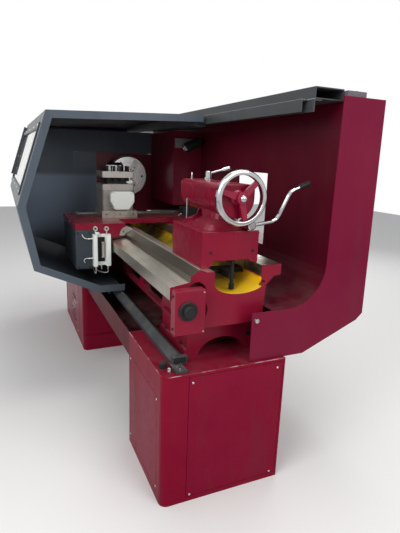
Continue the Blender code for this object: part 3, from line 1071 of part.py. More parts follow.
def clear_scene():
    for piece in list(bpy.data.objects):
        bpy.data.objects.remove(piece)


clear_scene()
build_right_cabinet()
build_left_cabinet()
build_chip_tray()
build_bed()
build_feed_screw()
build_headstock()
build_spindle()
build_carriage()
build_tailstock()
build_guard()
build_lamp()
build_door()
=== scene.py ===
import math

import bmesh
import bpy
from mathutils import Matrix, Vector


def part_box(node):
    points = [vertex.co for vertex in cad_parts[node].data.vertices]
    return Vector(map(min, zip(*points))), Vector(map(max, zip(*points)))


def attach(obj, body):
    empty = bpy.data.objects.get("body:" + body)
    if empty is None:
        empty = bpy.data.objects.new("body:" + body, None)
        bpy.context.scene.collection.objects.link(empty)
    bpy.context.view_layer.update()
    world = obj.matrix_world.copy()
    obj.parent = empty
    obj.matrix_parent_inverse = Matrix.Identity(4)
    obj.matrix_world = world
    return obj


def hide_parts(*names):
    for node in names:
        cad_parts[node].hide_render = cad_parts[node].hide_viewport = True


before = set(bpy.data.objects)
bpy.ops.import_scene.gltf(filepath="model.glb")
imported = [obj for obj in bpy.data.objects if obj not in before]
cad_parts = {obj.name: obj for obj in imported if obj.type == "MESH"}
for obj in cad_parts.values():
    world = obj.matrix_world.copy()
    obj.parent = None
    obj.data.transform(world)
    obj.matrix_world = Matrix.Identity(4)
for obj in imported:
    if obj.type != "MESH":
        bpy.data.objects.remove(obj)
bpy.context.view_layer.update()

# Camera, floor and studio light
# The camera stands where the photograph was taken: low at the tailstock corner, tilted a little down.
# The lathe stands on a plain pale floor between large soft lamps.


def show(thing):
    bpy.context.scene.collection.objects.link(thing)
    return thing


def bare_material(name, **constants):
    """Start a material whose shader has the given constants; returns it, its tree and its shader."""
    material = bpy.data.materials.new(name)
    material.use_nodes = True
    shader = material.node_tree.nodes["Principled BSDF"]
    for label, value in constants.items():
        shader.inputs[label.replace("_", " ")].default_value = value
    return material, material.node_tree, shader


camera = show(bpy.data.objects.new("camera", bpy.data.cameras.new("camera")))
camera.location = (2.5447, -0.7123, 1.2927)
camera.rotation_euler = [math.radians(turn) for turn in (76.167, -2.075, 66.189)]
camera.data.sensor_width = 36.0
camera.data.lens = 29.743
camera.data.clip_start = 0.05
camera.data.clip_end = 60.0
bpy.context.scene.camera = camera
bpy.context.scene.view_settings.view_transform = "Standard"

floor_mesh = bmesh.new()
bmesh.ops.create_grid(floor_mesh, x_segments=2, y_segments=2, size=9.0)
floor_data = bpy.data.meshes.new("floor")
floor_mesh.to_mesh(floor_data)
floor_mesh.free()
floor = show(bpy.data.objects.new("floor", floor_data))
floor_paint, _, _ = bare_material("floor_pale", Base_Color=(0.74, 0.73, 0.71, 1.0), Roughness=0.85)
floor_data.materials.append(floor_paint)


def node(tree, kind, settings=None, **inputs):
    """Add a node. Inputs go by name, with _ for spaces, or by number as i0 and i1."""
    made = tree.nodes.new(kind)
    for label, value in (settings or {}).items():
        setattr(made, label, value)
    for label, value in inputs.items():
        counted = label[0] == "i" and label[1:].isdigit()
        socket = made.inputs[int(label[1:]) if counted else label.replace("_", " ")]
        if isinstance(value, bpy.types.NodeSocket):
            tree.links.new(value, socket)
        elif socket.type == "RGBA" and len(value) == 3:
            socket.default_value = (*value, 1.0)
        else:
            socket.default_value = value
    return made


def put(tree, kind, settings=None, **inputs):
    return node(tree, "ShaderNode" + kind, settings, **inputs)


def maths(operation, first, second=0.0, clamp=False):
    """Work with one or two numbers, of which at least one comes from a node's socket."""
    tree = (first if isinstance(first, bpy.types.NodeSocket) else second).id_data
    return put(tree, "Math", {"operation": operation, "use_clamp": clamp}, i0=first, i1=second).outputs[0]


world = bpy.data.worlds.new("studio")
bpy.context.scene.world = world
world.use_nodes = True
sky = world.node_tree
soft_light = sky.nodes["Background"]
soft_light.inputs["Color"].default_value = (0.93, 0.95, 1.0, 1.0)
soft_light.inputs["Strength"].default_value = 0.50
white_wall = put(sky, "Background", None, Color=(1.0, 1.0, 1.0), Strength=1.0)
ray = put(sky, "LightPath").outputs
mirrored = maths("MAXIMUM", ray["Is Camera Ray"], ray["Is Glossy Ray"])
seen = maths("MAXIMUM", mirrored, ray["Is Transmission Ray"])
backdrop = put(sky, "MixShader", None, Fac=seen, i1=soft_light.outputs[0], i2=white_wall.outputs[0])
sky.links.new(backdrop.outputs["Shader"], sky.nodes["World Output"].inputs["Surface"])


def softbox(name, place_at, aim, size, power):
    """Large area lamp turned towards a point of the machine."""
    lamp = bpy.data.lights.new(name, "AREA")
    lamp.shape = "RECTANGLE"
    lamp.size, lamp.size_y = size
    lamp.energy = power
    holder = show(bpy.data.objects.new(name, lamp))
    holder.location = place_at
    holder.rotation_euler = (Vector(aim) - Vector(place_at)).to_track_quat("-Z", "Y").to_euler()


softbox("front_softbox", (2.6, -3.0, 3.2), (0.0, 0.0, 0.9), (2.4, 2.4), 95.0)
softbox("end_softbox", (4.2, 1.2, 2.6), (0.6, 0.0, 0.9), (2.0, 2.0), 60.0)
softbox("top_softbox", (0.2, 0.4, 4.2), (0.0, 0.0, 0.9), (3.0, 2.0), 70.0)
softbox("rear_softbox", (-2.5, 3.2, 2.8), (0.0, 0.0, 0.9), (2.4, 2.4), 50.0)

# Base cabinets and their covers
# Welded sheet steel in burgundy machine enamel, sprayed and slightly orange-peeled, with dust on flat
# tops and rubbed edges; the cabinets' top edges are paler for wear and a painted highlight. The covers are
# held on with slotted pan-head screws.


def new_group(name, kind, inputs, outputs):
    """Start a node group with named inputs and outputs; returns it, its given values and its output node."""
    tree = bpy.data.node_groups.new(name, kind)
    for label, socket_kind, value in inputs:
        socket = tree.interface.new_socket(name=label, in_out="INPUT", socket_type=f"NodeSocket{socket_kind}")
        if value is not None:
            socket.default_value = value
    for label, socket_kind in outputs:
        tree.interface.new_socket(name=label, in_out="OUTPUT", socket_type=f"NodeSocket{socket_kind}")
    return tree, tree.nodes.new("NodeGroupInput").outputs, tree.nodes.new("NodeGroupOutput")


def feed(target, **sources):
    """Link sockets to the named inputs of a node."""
    for label, source in sources.items():
        target.id_data.links.new(source, target.inputs[label.replace("_", " ")])


def blend(share, first, second, kind="RGBA"):
    """Mix two colours, numbers or vectors by a share from 0 to 1."""
    start, stop, out = {"FLOAT": (2, 3, 0), "VECTOR": (4, 5, 1), "RGBA": (6, 7, 2)}[kind]
    values = {"i0": share, f"i{start}": first, f"i{stop}": second}
    return put(share.id_data, "Mix", {"data_type": kind}, **values).outputs[out]


def spread(value, low, high, start=0.0, stop=1.0):
    """Remap a value from low..high to start..stop, held at the ends."""
    return put(value.id_data, "MapRange", {"clamp": True}, Value=value, From_Min=low, From_Max=high,
               To_Min=start, To_Max=stop).outputs["Result"]


def noise(vector, scale, detail=3.0, roughness=0.55):
    return put(vector.id_data, "TexNoise", None, Vector=vector, Scale=scale, Detail=detail,
               Roughness=roughness).outputs["Fac"]


def darker(colour, value, hue=0.5, saturation=1.0):
    return put(colour.id_data, "HueSaturation", None, Hue=hue, Saturation=saturation, Value=value, Fac=1.0,
               Color=colour).outputs["Color"]


def bump(height, strength, distance):
    return put(height.id_data, "Bump", None, Strength=strength, Distance=distance,
               Height=height).outputs["Normal"]


def object_place(tree):
    return put(tree, "TexCoord").outputs["Object"]


def both(first, second):
    return maths("MULTIPLY", first, second)


def either(first, second):
    return maths("MAXIMUM", first, second)


def above(value, low):
    return maths("GREATER_THAN", value, low)


def below(value, high):
    return maths("LESS_THAN", value, high)


def between(value, low, high):
    return both(above(value, low), below(value, high))


FINISH_OUTPUTS = [("Colour", "Color"), ("Roughness", "Float"), ("Normal", "Vector")]
paint_film, film_in, film_out = new_group(
    "paint_film", "ShaderNodeTree",
    [("Paint", "Color", (0.5, 0.5, 0.5, 1.0)), ("Primer", "Color", (0.2, 0.18, 0.16, 1.0)),
     ("Dust", "Float", 0.3), ("Scuffs", "Float", 0.3), ("Roughness", "Float", 0.3),
     ("Peel", "Float", 0.15)], FINISH_OUTPUTS)
coordinates = object_place(paint_film)
tint = blend(spread(noise(coordinates, 2.3, 4.0), 0.3, 0.7), film_in["Paint"],
             darker(film_in["Paint"], 0.84, hue=0.497, saturation=1.03))
running_down = put(paint_film, "Mapping", None, Vector=coordinates, Scale=(9.0, 9.0, 1.4)).outputs["Vector"]
streaks = spread(noise(running_down, 1.0, 5.0, 0.6), 0.52, 0.72)
soiled = blend(both(streaks, 0.22), tint, (0.045, 0.030, 0.028))
scratch = spread(noise(coordinates, 46.0, 8.0, 0.75), 0.665, 0.70)
patch = spread(noise(coordinates, 4.5, 2.0), 0.50, 0.66)
chips = maths("MULTIPLY", both(scratch, patch), film_in["Scuffs"], clamp=True)
worn = blend(chips, soiled, film_in["Primer"])
flatness = put(paint_film, "SeparateXYZ", None,
               Vector=put(paint_film, "NewGeometry").outputs["Normal"]).outputs["Z"]
settled = both(spread(flatness, 0.25, 1.0, 0.05, 1.0), spread(noise(coordinates, 13.0, 6.0), 0.35, 0.75))
dusty = maths("MULTIPLY", settled, film_in["Dust"], clamp=True)
dulled = maths("ADD", both(dusty, 0.35), both(streaks, 0.12))
feed(film_out, Colour=blend(both(dusty, 0.55), worn, (0.33, 0.30, 0.27)),
     Roughness=maths("ADD", film_in["Roughness"], dulled, clamp=True),
     Normal=bump(noise(coordinates, 210.0, 2.0), film_in["Peel"], 0.0015))


def lay(tree, group, **values):
    """Put a shared finish into a material with its own values; returns its outputs."""
    return put(tree, "Group", {"node_tree": group}, **values).outputs


def finish_with(shader, finish):
    feed(shader, Base_Color=finish["Colour"], Roughness=finish["Roughness"], Normal=finish["Normal"])


def painted(name, paint, primer=(0.18, 0.15, 0.14), dust=0.3, scuffs=0.5, roughness=0.26, peel=0.12,
            coat=0.06, gloss=0.15):
    """Sprayed enamel on metal: the shared paint film feeding a coated shader."""
    material, tree, shader = bare_material(name, Coat_Weight=coat, Coat_Roughness=0.12,
                                           Specular_IOR_Level=gloss)
    finish_with(shader, lay(tree, paint_film, Paint=paint, Primer=primer, Dust=dust, Scuffs=scuffs,
                            Roughness=roughness, Peel=peel))
    return material


def dress(material, *names):
    """Give CAD nodes a finish."""
    for name in names:
        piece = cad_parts[name]
        piece.data.materials.clear()
        piece.data.materials.append(material)


END_X = 1.225
FRONT_Y = -0.242


def place(from_end, from_front, height):
    """Turn distances from the tailstock end, the cabinets' front and the floor into a place in the frame."""
    return Vector((END_X - from_end, FRONT_Y + from_front, height))


def machine_spot(material):
    """Where a material's surface lies, in the same three distances as place takes."""
    spot = put(material.node_tree, "SeparateXYZ", None, Vector=object_place(material.node_tree)).outputs
    return maths("SUBTRACT", END_X, spot["X"]), maths("SUBTRACT", spot["Y"], FRONT_Y), spot["Z"]


def over(material, mask, value, label="Base Color", kind="RGBA"):
    """Lay a colour over a finish where the mask is 1, or a number over another of its sockets."""
    socket = material.node_tree.nodes["Principled BSDF"].inputs[label]
    material.node_tree.links.new(blend(mask, socket.links[0].from_socket, value, kind), socket)


BURGUNDY = (0.215, 0.0065, 0.024)
burgundy_enamel = painted("burgundy_enamel", BURGUNDY, dust=0.18)
cover_enamel = painted("cover_enamel", (0.200, 0.0065, 0.026), dust=0.2, scuffs=0.6, coat=0.0, gloss=0.05)
dress(cover_enamel, "right_end_cover", "right_front_cover", "left_front_cover")

CABINET_TOP = 0.540
EDGE_DEPTH = 0.0018
EDGE_WIDTH = 0.0022
cabinet_enamel = painted("cabinet_enamel", (0.205, 0.0062, 0.023), dust=0.15, roughness=0.28, coat=0.0,
                         gloss=0.05)
from_end, from_front, height = machine_spot(cabinet_enamel)
# Pale pink along the cabinets' top edges: worn paint and a painted highlight where the edge catches light.
at_an_edge = either(below(from_end, EDGE_WIDTH), below(from_front, EDGE_WIDTH))
worn_and_lit_top_edges = both(above(height, CABINET_TOP - EDGE_DEPTH), at_an_edge)
uneven = spread(noise(object_place(cabinet_enamel.node_tree), 14.0, 4.0), 0.42, 0.55, 0.1, 1.0)
over(cabinet_enamel, both(worn_and_lit_top_edges, uneven), (0.50, 0.34, 0.33))
dress(cabinet_enamel, "right_cabinet", "left_cabinet")


def set_on_points(tree, given, shape):
    """Geometry Nodes: one shape on every point, facing the way its 'facing' attribute says."""
    facing_way = node(tree, "GeometryNodeInputNamedAttribute", {"data_type": "FLOAT_VECTOR"}, Name="facing")
    turn = node(tree, "FunctionNodeAlignRotationToVector", {"axis": "Z"},
                Vector=facing_way.outputs["Attribute"])
    return node(tree, "GeometryNodeInstanceOnPoints", None, Points=given["Points"], Instance=shape,
                Rotation=turn.outputs["Rotation"]).outputs["Instances"]


def make_real(tree, given, shape, result):
    """Geometry Nodes: end a tree with real faces that wear the finish it was given."""
    real = node(tree, "GeometryNodeRealizeInstances", None, Geometry=shape)
    coloured = node(tree, "GeometryNodeSetMaterial", None, Geometry=real.outputs["Geometry"],
                    Material=given["Finish"])
    tree.links.new(coloured.outputs["Geometry"], result.inputs[0])


def head_tree(name, recess_sides, rim_sides=20):
    """Geometry Nodes: coned screw heads with a slot, where recess_sides is 0, or with a socket."""
    tree, given, result = new_group(
        name, "GeometryNodeTree",
        [("Points", "Geometry", None), ("Head radius", "Float", 0.004), ("Head height", "Float", 0.003),
         ("Recess", "Float", 0.5), ("Finish", "Material", None)], [("Heads", "Geometry")])
    radius = given["Head radius"]
    depth = given["Head height"]
    recess = both(radius, given["Recess"])
    skirt = node(tree, "GeometryNodeMeshCone", {"fill_type": "NGON"}, Vertices=rim_sides,
                 Radius_Top=both(radius, 0.80 if rim_sides > 6 else 0.97), Radius_Bottom=radius, Depth=depth)
    if recess_sides:
        cutter = node(tree, "GeometryNodeMeshCylinder", {"fill_type": "NGON"}, Vertices=recess_sides,
                      Radius=recess, Depth=depth)
    else:
        slot_size = put(tree, "CombineXYZ", None, X=both(radius, 3.0), Y=recess, Z=depth).outputs[0]
        cutter = node(tree, "GeometryNodeMeshCube", None, Size=slot_size)
    lift = put(tree, "CombineXYZ", None, Z=both(depth, 1.1)).outputs[0]
    raised = node(tree, "GeometryNodeTransform", None, Geometry=cutter.outputs["Mesh"], Translation=lift)
    head = node(tree, "GeometryNodeMeshBoolean", {"operation": "DIFFERENCE"}, i0=skirt.outputs["Mesh"],
                i1=raised.outputs["Geometry"])
    make_real(tree, given, set_on_points(tree, given, head.outputs["Mesh"]), result)
    return tree


def grow(name, data, tree, **values):
    """Run a Geometry Nodes tree on points or on a path and keep what it makes as one plain mesh."""
    piece = show(bpy.data.objects.new(name, data))
    modifier = piece.modifiers.new("growth", "NODES")
    modifier.node_group = tree
    for item in tree.interface.items_tree:
        label = item.name.replace(" ", "_")
        if item.in_out == "INPUT" and label in values:
            modifier[item.identifier] = values[label]
    bpy.context.view_layer.update()
    made = bpy.data.meshes.new_from_object(piece.evaluated_get(bpy.context.evaluated_depsgraph_get()))
    piece.modifiers.clear()
    piece.data = made
    return piece


def fasten(piece, body):
    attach(piece, body)
    return piece


def facing(way, spots):
    """Turn (from end, from front, height) spots into places that all face one way."""
    return [(place(*spot), way) for spot in spots]


def heads(name, body, spots, radius, height, kind, recess=None):
    """Set one kind of head on the spots of one body."""
    tree, usual_recess, material, slot_name = kind
    data = bpy.data.meshes.new(name)
    data.from_pydata([tuple(spot) for spot, _ in spots], [], [])
    ways = data.attributes.new("facing", "FLOAT_VECTOR", "POINT")
    for index, (_, way) in enumerate(spots):
        ways.data[index].vector = way
    piece = grow(name, data, tree, Head_radius=radius, Head_height=height, Recess=recess or usual_recess,
                 Finish=material)
    return fasten(piece, body)


def vectors(operation, first, second=(0.0, 0.0, 0.0)):
    return put(first.id_data, "VectorMath", {"operation": operation}, i0=first, i1=second).outputs


brushed_metal, brushed_in, brushed_out = new_group(
    "brushed_metal", "ShaderNodeTree",
    [("Metal", "Color", (0.5, 0.5, 0.5, 1.0)), ("Oil", "Color", (0.12, 0.08, 0.04, 1.0)),
     ("Grain stretch", "Vector", (1.0, 1.0, 1.0)), ("Stain", "Float", 0.3), ("Roughness", "Float", 0.3),
     ("Depth", "Float", 0.1)], FINISH_OUTPUTS)
coordinates = object_place(brushed_metal)
grain = noise(vectors("MULTIPLY", coordinates, brushed_in["Grain stretch"])[0], 1.0, 6.0, 0.65)
blotch = spread(noise(coordinates, 9.0, 6.0, 0.62), 0.45, 0.75)
stained = maths("MULTIPLY", blotch, brushed_in["Stain"], clamp=True)
shaded = blend(spread(grain, 0.3, 0.7), darker(brushed_in["Metal"], 0.72), brushed_in["Metal"])
dulled = maths("ADD", both(grain, 0.18), both(stained, 0.2))
feed(brushed_out, Colour=blend(stained, shaded, brushed_in["Oil"]),
     Roughness=maths("ADD", brushed_in["Roughness"], dulled, clamp=True),
     Normal=bump(grain, brushed_in["Depth"], 0.0008))


def metal(name, colour, stretch, roughness=0.25, stain=0.25, metallic=1.0):
    """Bare machined metal with grinding lines along the axis whose stretch is smallest."""
    material, tree, shader = bare_material(name, Metallic=metallic)
    finish_with(shader, lay(tree, brushed_metal, Metal=colour, Oil=(0.10, 0.075, 0.05), Grain_stretch=stretch,
                            Stain=stain, Roughness=roughness, Depth=0.12))
    return material


zinc_screws = metal("zinc_screws", (0.62, 0.61, 0.58), (60.0, 60.0, 60.0), roughness=0.3, stain=0.3)
pan_screw = (head_tree("slotted_pan_screws", 0), 0.3, zinc_screws, "chrome")
toward_end = Vector((1, 0, 0))
toward_front = Vector((0, -1, 0))
straight_up = Vector((0, 0, 1))
cover_screws = facing(toward_end, [(0.0, front, height) for front in (0.117, 0.478)
                                   for height in (0.028, 0.503)])
cover_screws += facing(toward_front, [(end, 0.0, height) for end in (0.066, 0.425)
                                      for height in (0.050, 0.425)])
cover_screws += facing(toward_front, [(end, -0.03, height) for end in (1.735, 2.265)
                                      for height in (0.055, 0.27, 0.485)])
heads("cabinet_screws", "frame", cover_screws, 0.0044, 0.0014, pan_screw)

# Chip tray
# Folded steel trough that closes the gap between the two cabinets and catches what falls from the bed.
# It is sprayed in the same burgundy enamel, but coolant and fine chips have dulled it.
tray_enamel = painted("tray_enamel", (0.085, 0.006, 0.012), dust=0.5, scuffs=0.8, roughness=0.40, coat=0.0,
                      gloss=0.08)
dress(tray_enamel, "chip_tray")

# Bed casting
# One grey-iron casting: enamelled outside, ways ground bright and oiled, and a yellow coolant-proof paint
# in the chip trough. Which finish shows is told by where the surface lies in the bed's own section.
bed_finish, bed_tree, bed_shader = bare_material("bed_finish", Specular_IOR_Level=0.15)
from_end, from_front, height = machine_spot(bed_finish)
bed_place = object_place(bed_tree)
off_the_end = above(from_end, 0.0705)
front_way = both(between(from_front, 0.0455, 0.2195), above(height, 0.8465))
way_lip = both(between(from_front, 0.0455, 0.0465), above(height, 0.8005))
rear_way = both(between(from_front, 0.4175, 0.506), above(height, 0.8632))
ground = both(either(either(front_way, way_lip), rear_way), off_the_end)

TROUGH_MIDDLE = 0.314
TROUGH_LIP = 0.858
TROUGH_HALF_WIDTH = 0.124
TROUGH_DEPTH = 0.068
aside = maths("DIVIDE", maths("SUBTRACT", from_front, TROUGH_MIDDLE), TROUGH_HALF_WIDTH)
down = maths("DIVIDE", maths("SUBTRACT", height, TROUGH_LIP), TROUGH_DEPTH)
in_ellipse = below(maths("ADD", both(aside, aside), both(down, down)), 1.04)
trough = both(both(in_ellipse, below(height, TROUGH_LIP + 0.0005)), off_the_end)

bed_paint = lay(bed_tree, paint_film, Paint=BURGUNDY, Primer=(0.16, 0.14, 0.13), Dust=0.45, Scuffs=0.7,
                Roughness=0.30, Peel=0.2)
trough_paint = lay(bed_tree, paint_film, Paint=(0.95, 0.60, 0.004), Primer=(0.35, 0.20, 0.02), Dust=0.5,
                   Scuffs=0.9, Roughness=0.38, Peel=0.3)
ground_iron = lay(bed_tree, brushed_metal, Metal=(0.92, 0.87, 0.76), Oil=(0.20, 0.14, 0.08),
                  Grain_stretch=(3.0, 420.0, 420.0), Stain=0.32, Roughness=0.26, Depth=0.1)
sludge = both(above(from_end, 0.30), spread(noise(bed_place, 7.0, 6.0), 0.36, 0.60, 0.25, 0.92))
trough_colour = blend(sludge, trough_paint["Colour"], (0.055, 0.042, 0.014))
paint_colour = blend(trough, bed_paint["Colour"], trough_colour)

# Painted light on the ways, in an oil-brown: the ridge's front slope darkened as a painted reflection of the
# dark door, the groove at its foot and the way's front lip as painted shade, and the rear way at the
# tailstock end in patches as painted shade under the tailstock.
ridge_slope = both(between(from_front, 0.1215, 0.1595), below(height, 0.9035))
ridge_groove = both(spread(from_front, 0.1130, 0.1215), below(from_front, 0.1225))
slope_reflection_and_groove_shade = either(ridge_slope, both(ridge_groove, 0.75))
shade_patches = spread(noise(bed_place, 16.0, 5.0), 0.35, 0.52, 0.35, 0.95)
shade_under_tailstock = both(both(rear_way, below(from_end, 0.21)), shade_patches)
painted_way_shade = both(either(either(slope_reflection_and_groove_shade, both(way_lip, 0.55)), shade_under_tailstock), 0.86)
way_colour = blend(painted_way_shade, ground_iron["Colour"], (0.10, 0.082, 0.055))
feed(bed_shader, Base_Color=blend(ground, paint_colour, way_colour), Metallic=ground,
     Roughness=blend(ground, bed_paint["Roughness"], ground_iron["Roughness"], "FLOAT"),
     Normal=blend(ground, bed_paint["Normal"], ground_iron["Normal"], "VECTOR"))
dress(bed_finish, "bed")

black_oxide = painted("black_oxide", (0.016, 0.016, 0.018), primer=(0.20, 0.19, 0.18), dust=0.35, scuffs=0.7,
                      roughness=0.42, peel=0.2, coat=0.0)
socket_tree = head_tree("socket_cap_screws", 6)
cap_screw = (socket_tree, 0.5, black_oxide, "dark_steel")
FOOT_TOP = 0.572
heads("bed_foot_bolts", "frame",
      facing(straight_up, [(end, 0.490, FOOT_TOP) for end in (0.21, 0.35, 1.62, 2.20)]),
      0.011, 0.010, cap_screw, 0.52)
heads("bed_ledge_bolts", "frame",
      facing(straight_up, [(end, 0.1425, FOOT_TOP) for end in (0.195, 0.37, 1.60, 2.22)]),
      0.0085, 0.009, cap_screw)
heads("bed_end_bolt", "frame", facing(toward_end, [(0.135, 0.411, 0.606)]), 0.010, 0.007, cap_screw)

# Feed screw line
# The ground screw that drives the carriage runs under the front way, from a bearing bracket with a turned
# dark cap at the tailstock end to the servo motor beside the headstock.
dress(burgundy_enamel, "feed_bracket")
dress(black_oxide, "feed_bracket_cap")
motor_black = painted("motor_black", (0.020, 0.021, 0.024), primer=(0.25, 0.24, 0.23), dust=0.5, scuffs=0.4,
                      roughness=0.45, peel=0.35, coat=0.0)
dress(motor_black, "feed_motor", "x_motor")
heads("feed_bracket_front_screws", "frame",
      facing(toward_front, [(0.048, 0.050, height) for height in (0.702, 0.822)]), 0.0045, 0.004, cap_screw)
heads("feed_bracket_pins", "frame", facing(toward_end, [(0.025, 0.159, height) for height in (0.688, 0.835)]),
      0.0030, 0.0015, pan_screw)

THREAD_PITCH = 0.010
THREAD_ROOT = (0.05, 0.042, 0.03)
THREAD_CREST = (0.5, 0.48, 0.43)


def threaded(name, axis, centre, shine=1.0):
    """Screw steel whose thread is a helical groove in the bump, counted along and round its axis."""
    material, tree, shader = bare_material(name, Metallic=1.0)
    moved = vectors("SUBTRACT", object_place(tree), tuple(centre))[0]
    spot = put(tree, "SeparateXYZ", None, Vector=moved).outputs
    round_axis = maths("ARCTAN2", *[spot[label] for label in "XYZ" if label != axis])
    groove = maths("SINE", maths("ADD", both(spot[axis], 2 * math.pi / THREAD_PITCH), round_axis))
    root, crest = ([part * shine for part in colour] for colour in (THREAD_ROOT, THREAD_CREST))
    feed(shader, Base_Color=blend(spread(groove, -1.0, 0.2), root, crest),
         Roughness=spread(groove, -1.0, 1.0, 0.45, 0.22), Normal=bump(groove, 0.9, 0.002))
    return material


# The screw's colours are dimmed to about a third: grease, and painted shade under the front way.
dress(threaded("feed_screw_steel", "X", place(0.0, 0.098, 0.77), shine=0.35), "z_screw")

# Headstock and its covers
# The headstock casting stands on the left end of the bed behind a sheet guard and a slate screen that
# closes the sliding door's section. A box cover hinged at the rear hides the belt drive.
dress(burgundy_enamel, "headstock", "end_door")
LIT_SLATE = (0.160, 0.196, 0.262)


def lit_band(height):
    """1 from the bed's foot to the chuck's top, where a lighter slate is laid on as painted light on the
    screen.
    """
    return both(spread(height, 1.17, 1.14), spread(height, 0.72, 0.80))


guard_enamel = painted("guard_enamel", (0.150, 0.008, 0.022), dust=0.25, roughness=0.30)
_, from_front, height = machine_spot(guard_enamel)
slate_part = below(from_front, 0.130)
over(guard_enamel, slate_part, (0.078, 0.094, 0.118))
# A lighter slate in the band from the bed's foot to the chuck's top is painted light, on the guard's slate
# part and on the screen below.
over(guard_enamel, both(slate_part, lit_band(height)), LIT_SLATE)
dress(guard_enamel, "headstock_guard")
screen_enamel = painted("screen_enamel", (0.086, 0.104, 0.130), primer=(0.2, 0.2, 0.2), dust=0.2,
                        roughness=0.40, coat=0.0)
over(screen_enamel, lit_band(machine_spot(screen_enamel)[2]), LIT_SLATE)
dress(screen_enamel, "door_screen")
belt_rubber = painted("belt_rubber", (0.014, 0.014, 0.015), primer=(0.06, 0.06, 0.06), dust=0.5, scuffs=0.6,
                      roughness=0.7, peel=0.6, coat=0.0)
dress(belt_rubber, "drive_belt", "rubber_stop")
grey_casting = painted("grey_casting", (0.22, 0.22, 0.21), primer=(0.12, 0.11, 0.10), roughness=0.5, peel=0.7,
                       coat=0.0)
dress(grey_casting, "main_motor", "motor_pulley", "spindle_pulley")


def finish_mesh(name, grown, body, material):
    """Turn a bmesh into a piece that rides on a body, faces outwards and rounded faces smooth."""
    bmesh.ops.remove_doubles(grown, verts=grown.verts, dist=1e-6)
    bmesh.ops.recalc_face_normals(grown, faces=grown.faces)
    data = bpy.data.meshes.new(name)
    grown.to_mesh(data)
    grown.free()
    data.shade_smooth()
    data.set_sharp_from_angle(angle=math.radians(32))
    data.materials.append(material)
    return fasten(show(bpy.data.objects.new(name, data)), body)


def turned_piece(name, body, profile, bases, way, material, steps=24, closed=False):
    """Spin (along, radius) points round the way through each base; closed profiles make rings."""
    grown = bmesh.new()
    side = way.orthogonal().normalized()
    other = way.cross(side)
    angles = [2 * math.pi * turn / steps for turn in range(steps)]
    spokes = [side * math.cos(angle) + other * math.sin(angle) for angle in angles]
    for base in bases:
        rings = []
        for along, radius in profile:
            middle = base + way * along
            rings.append([grown.verts.new(middle + spoke * radius)
                          for spoke in (spokes if radius else spokes[:1])])
        for first, second in zip(rings, rings[1:] + (rings[:1] if closed else [])):
            for turn in range(steps):
                corners = [first[turn % len(first)], first[(turn + 1) % len(first)],
                           second[(turn + 1) % len(second)], second[turn % len(second)]]
                corners = list(dict.fromkeys(corners))
                if len(corners) > 2:
                    grown.faces.new(corners)
    return finish_mesh(name, grown, body, material)


turned_piece("belt_cover_latches", "belt_cover",
             [(0.0, 0.0), (0.0, 0.0165), (0.002, 0.0170), (0.004, 0.0155), (0.005, 0.0115), (0.013, 0.0105),
              (0.015, 0.0090), (0.0155, 0.0)], [place(2.39, 0.0200, height) for height in (0.42, 1.05)],
             toward_front, belt_rubber)

# Spindle, chuck and jaws
# Turned steel: fine concentric tool marks round the spindle line show as rings on the chuck's face.
# The jaws are hardened and ground.
SPINDLE_LINE = (0.316, 1.157)
TOOL_MARKS = 420.0
STEEL_GREY = 0.66
MARK_SHADE = 0.88
spindle_steel, steel_tree, steel_shader = bare_material("spindle_steel", Metallic=1.0)
from_centre = vectors("SUBTRACT", object_place(steel_tree), tuple(place(0.0, *SPINDLE_LINE)))[0]
radial = vectors("MULTIPLY", from_centre, (0.0, 1.0, 1.0))[0]
ring_radius = vectors("LENGTH", radial)["Value"]
axial = vectors("LENGTH", vectors("SUBTRACT", from_centre, radial)[0])["Value"]
ring_place = put(steel_tree, "CombineXYZ", None, X=both(ring_radius, TOOL_MARKS), Y=both(axial, TOOL_MARKS))
marks = noise(ring_place.outputs[0], 1.0, 2.0)
feed(steel_shader,
     Base_Color=blend(spread(marks, 0.3, 0.7), [STEEL_GREY * MARK_SHADE] * 3, [STEEL_GREY] * 3),
     Roughness=maths("ADD", both(marks, 0.08), 0.24), Normal=bump(marks, 0.02, 0.0006))
dress(spindle_steel, "spindle", "chuck", "quill")
jaw_steel = metal("jaw_steel", (0.50, 0.49, 0.47), (40.0, 300.0, 40.0), roughness=0.22, stain=0.35)
dress(jaw_steel, "chuck_jaw_1", "chuck_jaw_2", "chuck_jaw_3", "ball_nut")


def round_spindle(from_end, radius, angle, outward):
    """Spot at an angle round the spindle line, facing straight out from it or towards the tailstock."""
    way = Vector((0.0, math.cos(math.radians(angle)), math.sin(math.radians(angle))))
    return place(from_end, *SPINDLE_LINE) + way * radius, way if outward else toward_end


CHUCK_ANGLES = (0, 120, 240)
heads("chuck_face_screws", "spindle_line",
      [round_spindle(1.66, 0.098, angle, False) for angle in CHUCK_ANGLES], 0.0075, 0.003, cap_screw)
key_socket = (head_tree("square_key_sockets", 4), 0.62, jaw_steel, "ground_steel")
heads("chuck_key_sockets", "spindle_line",
      [round_spindle(1.69, 0.1296, angle, True) for angle in CHUCK_ANGLES], 0.0120, 0.0015, key_socket)
for number, angle in enumerate((60, 180, 300), 1):
    jaw_face = END_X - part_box(f"chuck_jaw_{number}")[1][0]
    heads(f"jaw_{number}_screws", f"jaw_{number}", [round_spindle(jaw_face, 0.066, angle, False)], 0.0050,
          0.0025, cap_screw)

